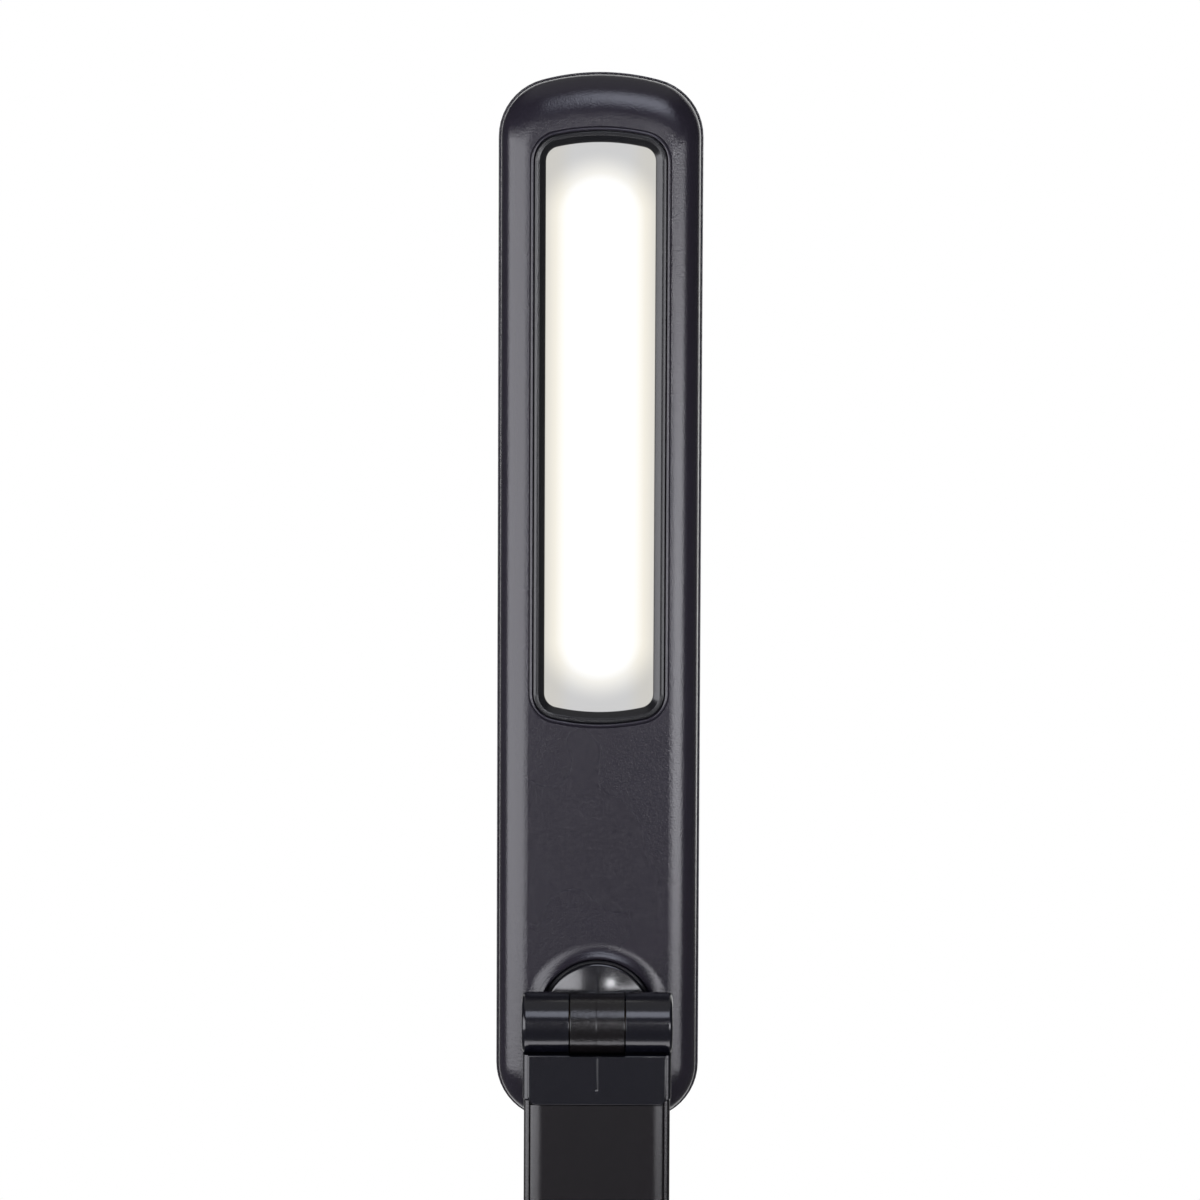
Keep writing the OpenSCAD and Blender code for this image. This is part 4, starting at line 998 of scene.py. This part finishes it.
# softboxes: where each hangs, what it faces and its size, all in metres
studio = {
    "leftSoftbox": {"at": (-0.804, -0.68, 0.25), "faces": (0, 0.07, 0.25), "size": (1.7, 0.9),
                    "watts": 19.0, "tint": "#f9f9ff"},
    "rightSoftbox": {"at": (0.8, -1.315, 0.085), "faces": (0, 0.07, 0.085), "size": (1.1, 0.84),
                     "watts": 17.0, "tint": "#f9f9ff"},
    # in front and high: a broad band on the barrel, a soft arc on the head's top
    "topSoftbox": {"at": (0.22, -1.13, 1.38), "faces": (0, 0.06, 0.33), "size": (0.76, 0.6),
                   "watts": 5.2, "tint": "#e9eeff"},
    # small and beside the camera: the patch on the swivel disc
    "frontSpot": {"at": (0.154, -1.1, 0.496), "faces": (0, 0.07, 0.31), "size": (0.09, 0.08),
                  "watts": 0.5, "tint": "#fbfbff"},
    # broad, behind the lamp: it keeps the back from going black
    "backSoftbox": {"at": (0.3, 1.7, 0.9), "faces": (0, 0.07, 0.25), "size": (2.4, 2.0),
                    "watts": 18.0, "tint": "#ffffff"},
    # a pale card lying before the arm, which the barrel's underside shows; it lights the hinge alone
    "lowCard": {"at": (0, 0.022, 0.145), "faces": (0, 0.022, 1.0), "size": (0.16, 0.075),
                "watts": 0.105, "tint": "#fbf9ff", "lights": ["upperHingeCap", "centreKnuckle"]},
}


def makeStudio(d):
    for name, box in d.items():
        data = bpy.data.lights.new(name, "AREA")
        data.shape = "RECTANGLE"
        data.size, data.size_y = box["size"]
        data.energy = box["watts"]
        data.color = linear(box["tint"])[:3]
        light = bpy.data.objects.new(name, data)
        light.location = box["at"]
        light.rotation_euler = (Vector(box["faces"]) - light.location).to_track_quat("-Z", "Y").to_euler()
        light.visible_camera = False
        if "lights" in box:
            lit = bpy.data.collections.new(name)
            for piece in box["lights"]:
                lit.objects.link(bpy.data.objects[piece])
            light.light_linking.receiver_collection = lit
        bpy.context.scene.collection.objects.link(light)


# the room that the lamp sees: white behind it, dim where the camera stands
room = {
    "behind": 1.0,
    "front": 0.05,
    "from": 0.8,           # how far towards the back a direction points where the white starts and is full
    "to": 0.97,
    "ceiling": 0.4,
    "aboveFrom": 0.6,      # the same upwards, for the ceiling
    "aboveTo": 0.95,
    "floorFront": 0.1,
    "floorHalf": 30,       # metres
    "paper": "#e0e0e0",
    "shadowTo": 0.15,      # the floor's own shade out to here, running into white by there, in metres
    "whiteBy": 0.8,
    "leastWhite": 0.45,
}


def seenDirectly(tree, ray):
    # one for the camera's own rays, also through a clear piece
    return addNode(tree, "Math", {0: ray.outputs["Is Camera Ray"], 1: ray.outputs["Is Transmission Ray"]},
                   operation="MAXIMUM").outputs[0]


def makeWorld(d):
    world = bpy.data.worlds.new("studioRoom")
    bpy.context.scene.world = world
    world.use_nodes = True
    tree = world.node_tree
    tree.nodes.clear()
    ray = addNode(tree, "LightPath")
    direction = addNode(tree, "SeparateXYZ", {"Vector": addNode(tree, "TexCoord").outputs["Generated"]})
    wall = addNode(tree, "MapRange", {"Value": direction.outputs["Y"],
                                      "From Min": d["from"], "From Max": d["to"],
                                      "To Min": d["front"], "To Max": d["behind"]},
                   interpolation_type="SMOOTHSTEP")
    above = addNode(tree, "MapRange", {"Value": direction.outputs["Z"],
                                       "From Min": d["aboveFrom"], "From Max": d["aboveTo"],
                                       "To Max": d["ceiling"]}, interpolation_type="SMOOTHSTEP")
    shell = addNode(tree, "Math", {0: wall.outputs[0], 1: above.outputs[0]}, operation="MAXIMUM")
    # the camera itself sees plain white
    glow = addNode(tree, "Mix", {0: seenDirectly(tree, ray), 2: shell.outputs[0], 3: 1.0}, data_type="FLOAT")
    back = addNode(tree, "Background", {"Color": (1, 1, 1, 1), "Strength": glow.outputs[0]})
    addNode(tree, "OutputWorld", {"Surface": back.outputs[0]})


def makeFloor(d):
    bm = bmesh.new()
    bmesh.ops.create_grid(bm, x_segments=1, y_segments=1, size=d["floorHalf"])
    mesh = bpy.data.meshes.new("paleFloor")
    bm.to_mesh(mesh)
    bm.free()
    floor = bpy.data.objects.new("paleFloor", mesh)
    bpy.context.scene.collection.objects.link(floor)
    material, tree = newMaterial("paleFloor")
    ray = addNode(tree, "LightPath")
    place = addNode(tree, "TexCoord").outputs["Object"]
    away = addNode(tree, "VectorMath", {0: place}, operation="LENGTH")
    # near the lamp the floor keeps its shadow; further out it runs into the white background
    fade = addNode(tree, "MapRange", {"Value": away.outputs["Value"],
                                      "From Min": d["shadowTo"], "From Max": d["whiteBy"],
                                      "To Min": d["leastWhite"], "To Max": 1.0},
                   interpolation_type="SMOOTHSTEP")
    share = addNode(tree, "Math", {0: fade.outputs[0], 1: seenDirectly(tree, ray)}, operation="MULTIPLY")
    white = addNode(tree, "Math", {0: share.outputs[0], 1: ray.outputs["Is Glossy Ray"]}, operation="MAXIMUM")
    # in a reflection the floor is white behind the lamp and dim on the camera's side
    bearing = addNode(tree, "Math", {0: addNode(tree, "SeparateXYZ", {"Vector": place}).outputs["Y"],
                                     1: away.outputs["Value"]}, operation="DIVIDE")
    behind = addNode(tree, "MapRange", {"Value": bearing.outputs[0],
                                        "From Min": d["from"], "From Max": d["to"],
                                        "To Min": d["floorFront"], "To Max": d["behind"]},
                     interpolation_type="SMOOTHSTEP")
    level = addNode(tree, "Mix", {0: ray.outputs["Is Glossy Ray"], 2: 1.0, 3: behind.outputs[0]},
                    data_type="FLOAT")
    paper = addNode(tree, "BsdfDiffuse", {"Color": linear(d["paper"])})
    glow = addNode(tree, "Emission", {"Color": (1, 1, 1, 1), "Strength": level.outputs[0]})
    mix = addNode(tree, "MixShader", {0: white.outputs[0], 1: paper.outputs[0], 2: glow.outputs[0]})
    addNode(tree, "OutputMaterial", {"Surface": mix.outputs[0]})
    mesh.materials.append(material)


makeStudio(studio)
makeWorld(room)
makeFloor(room)
bpy.context.scene.view_settings.view_transform = "Standard"
print("studio set")
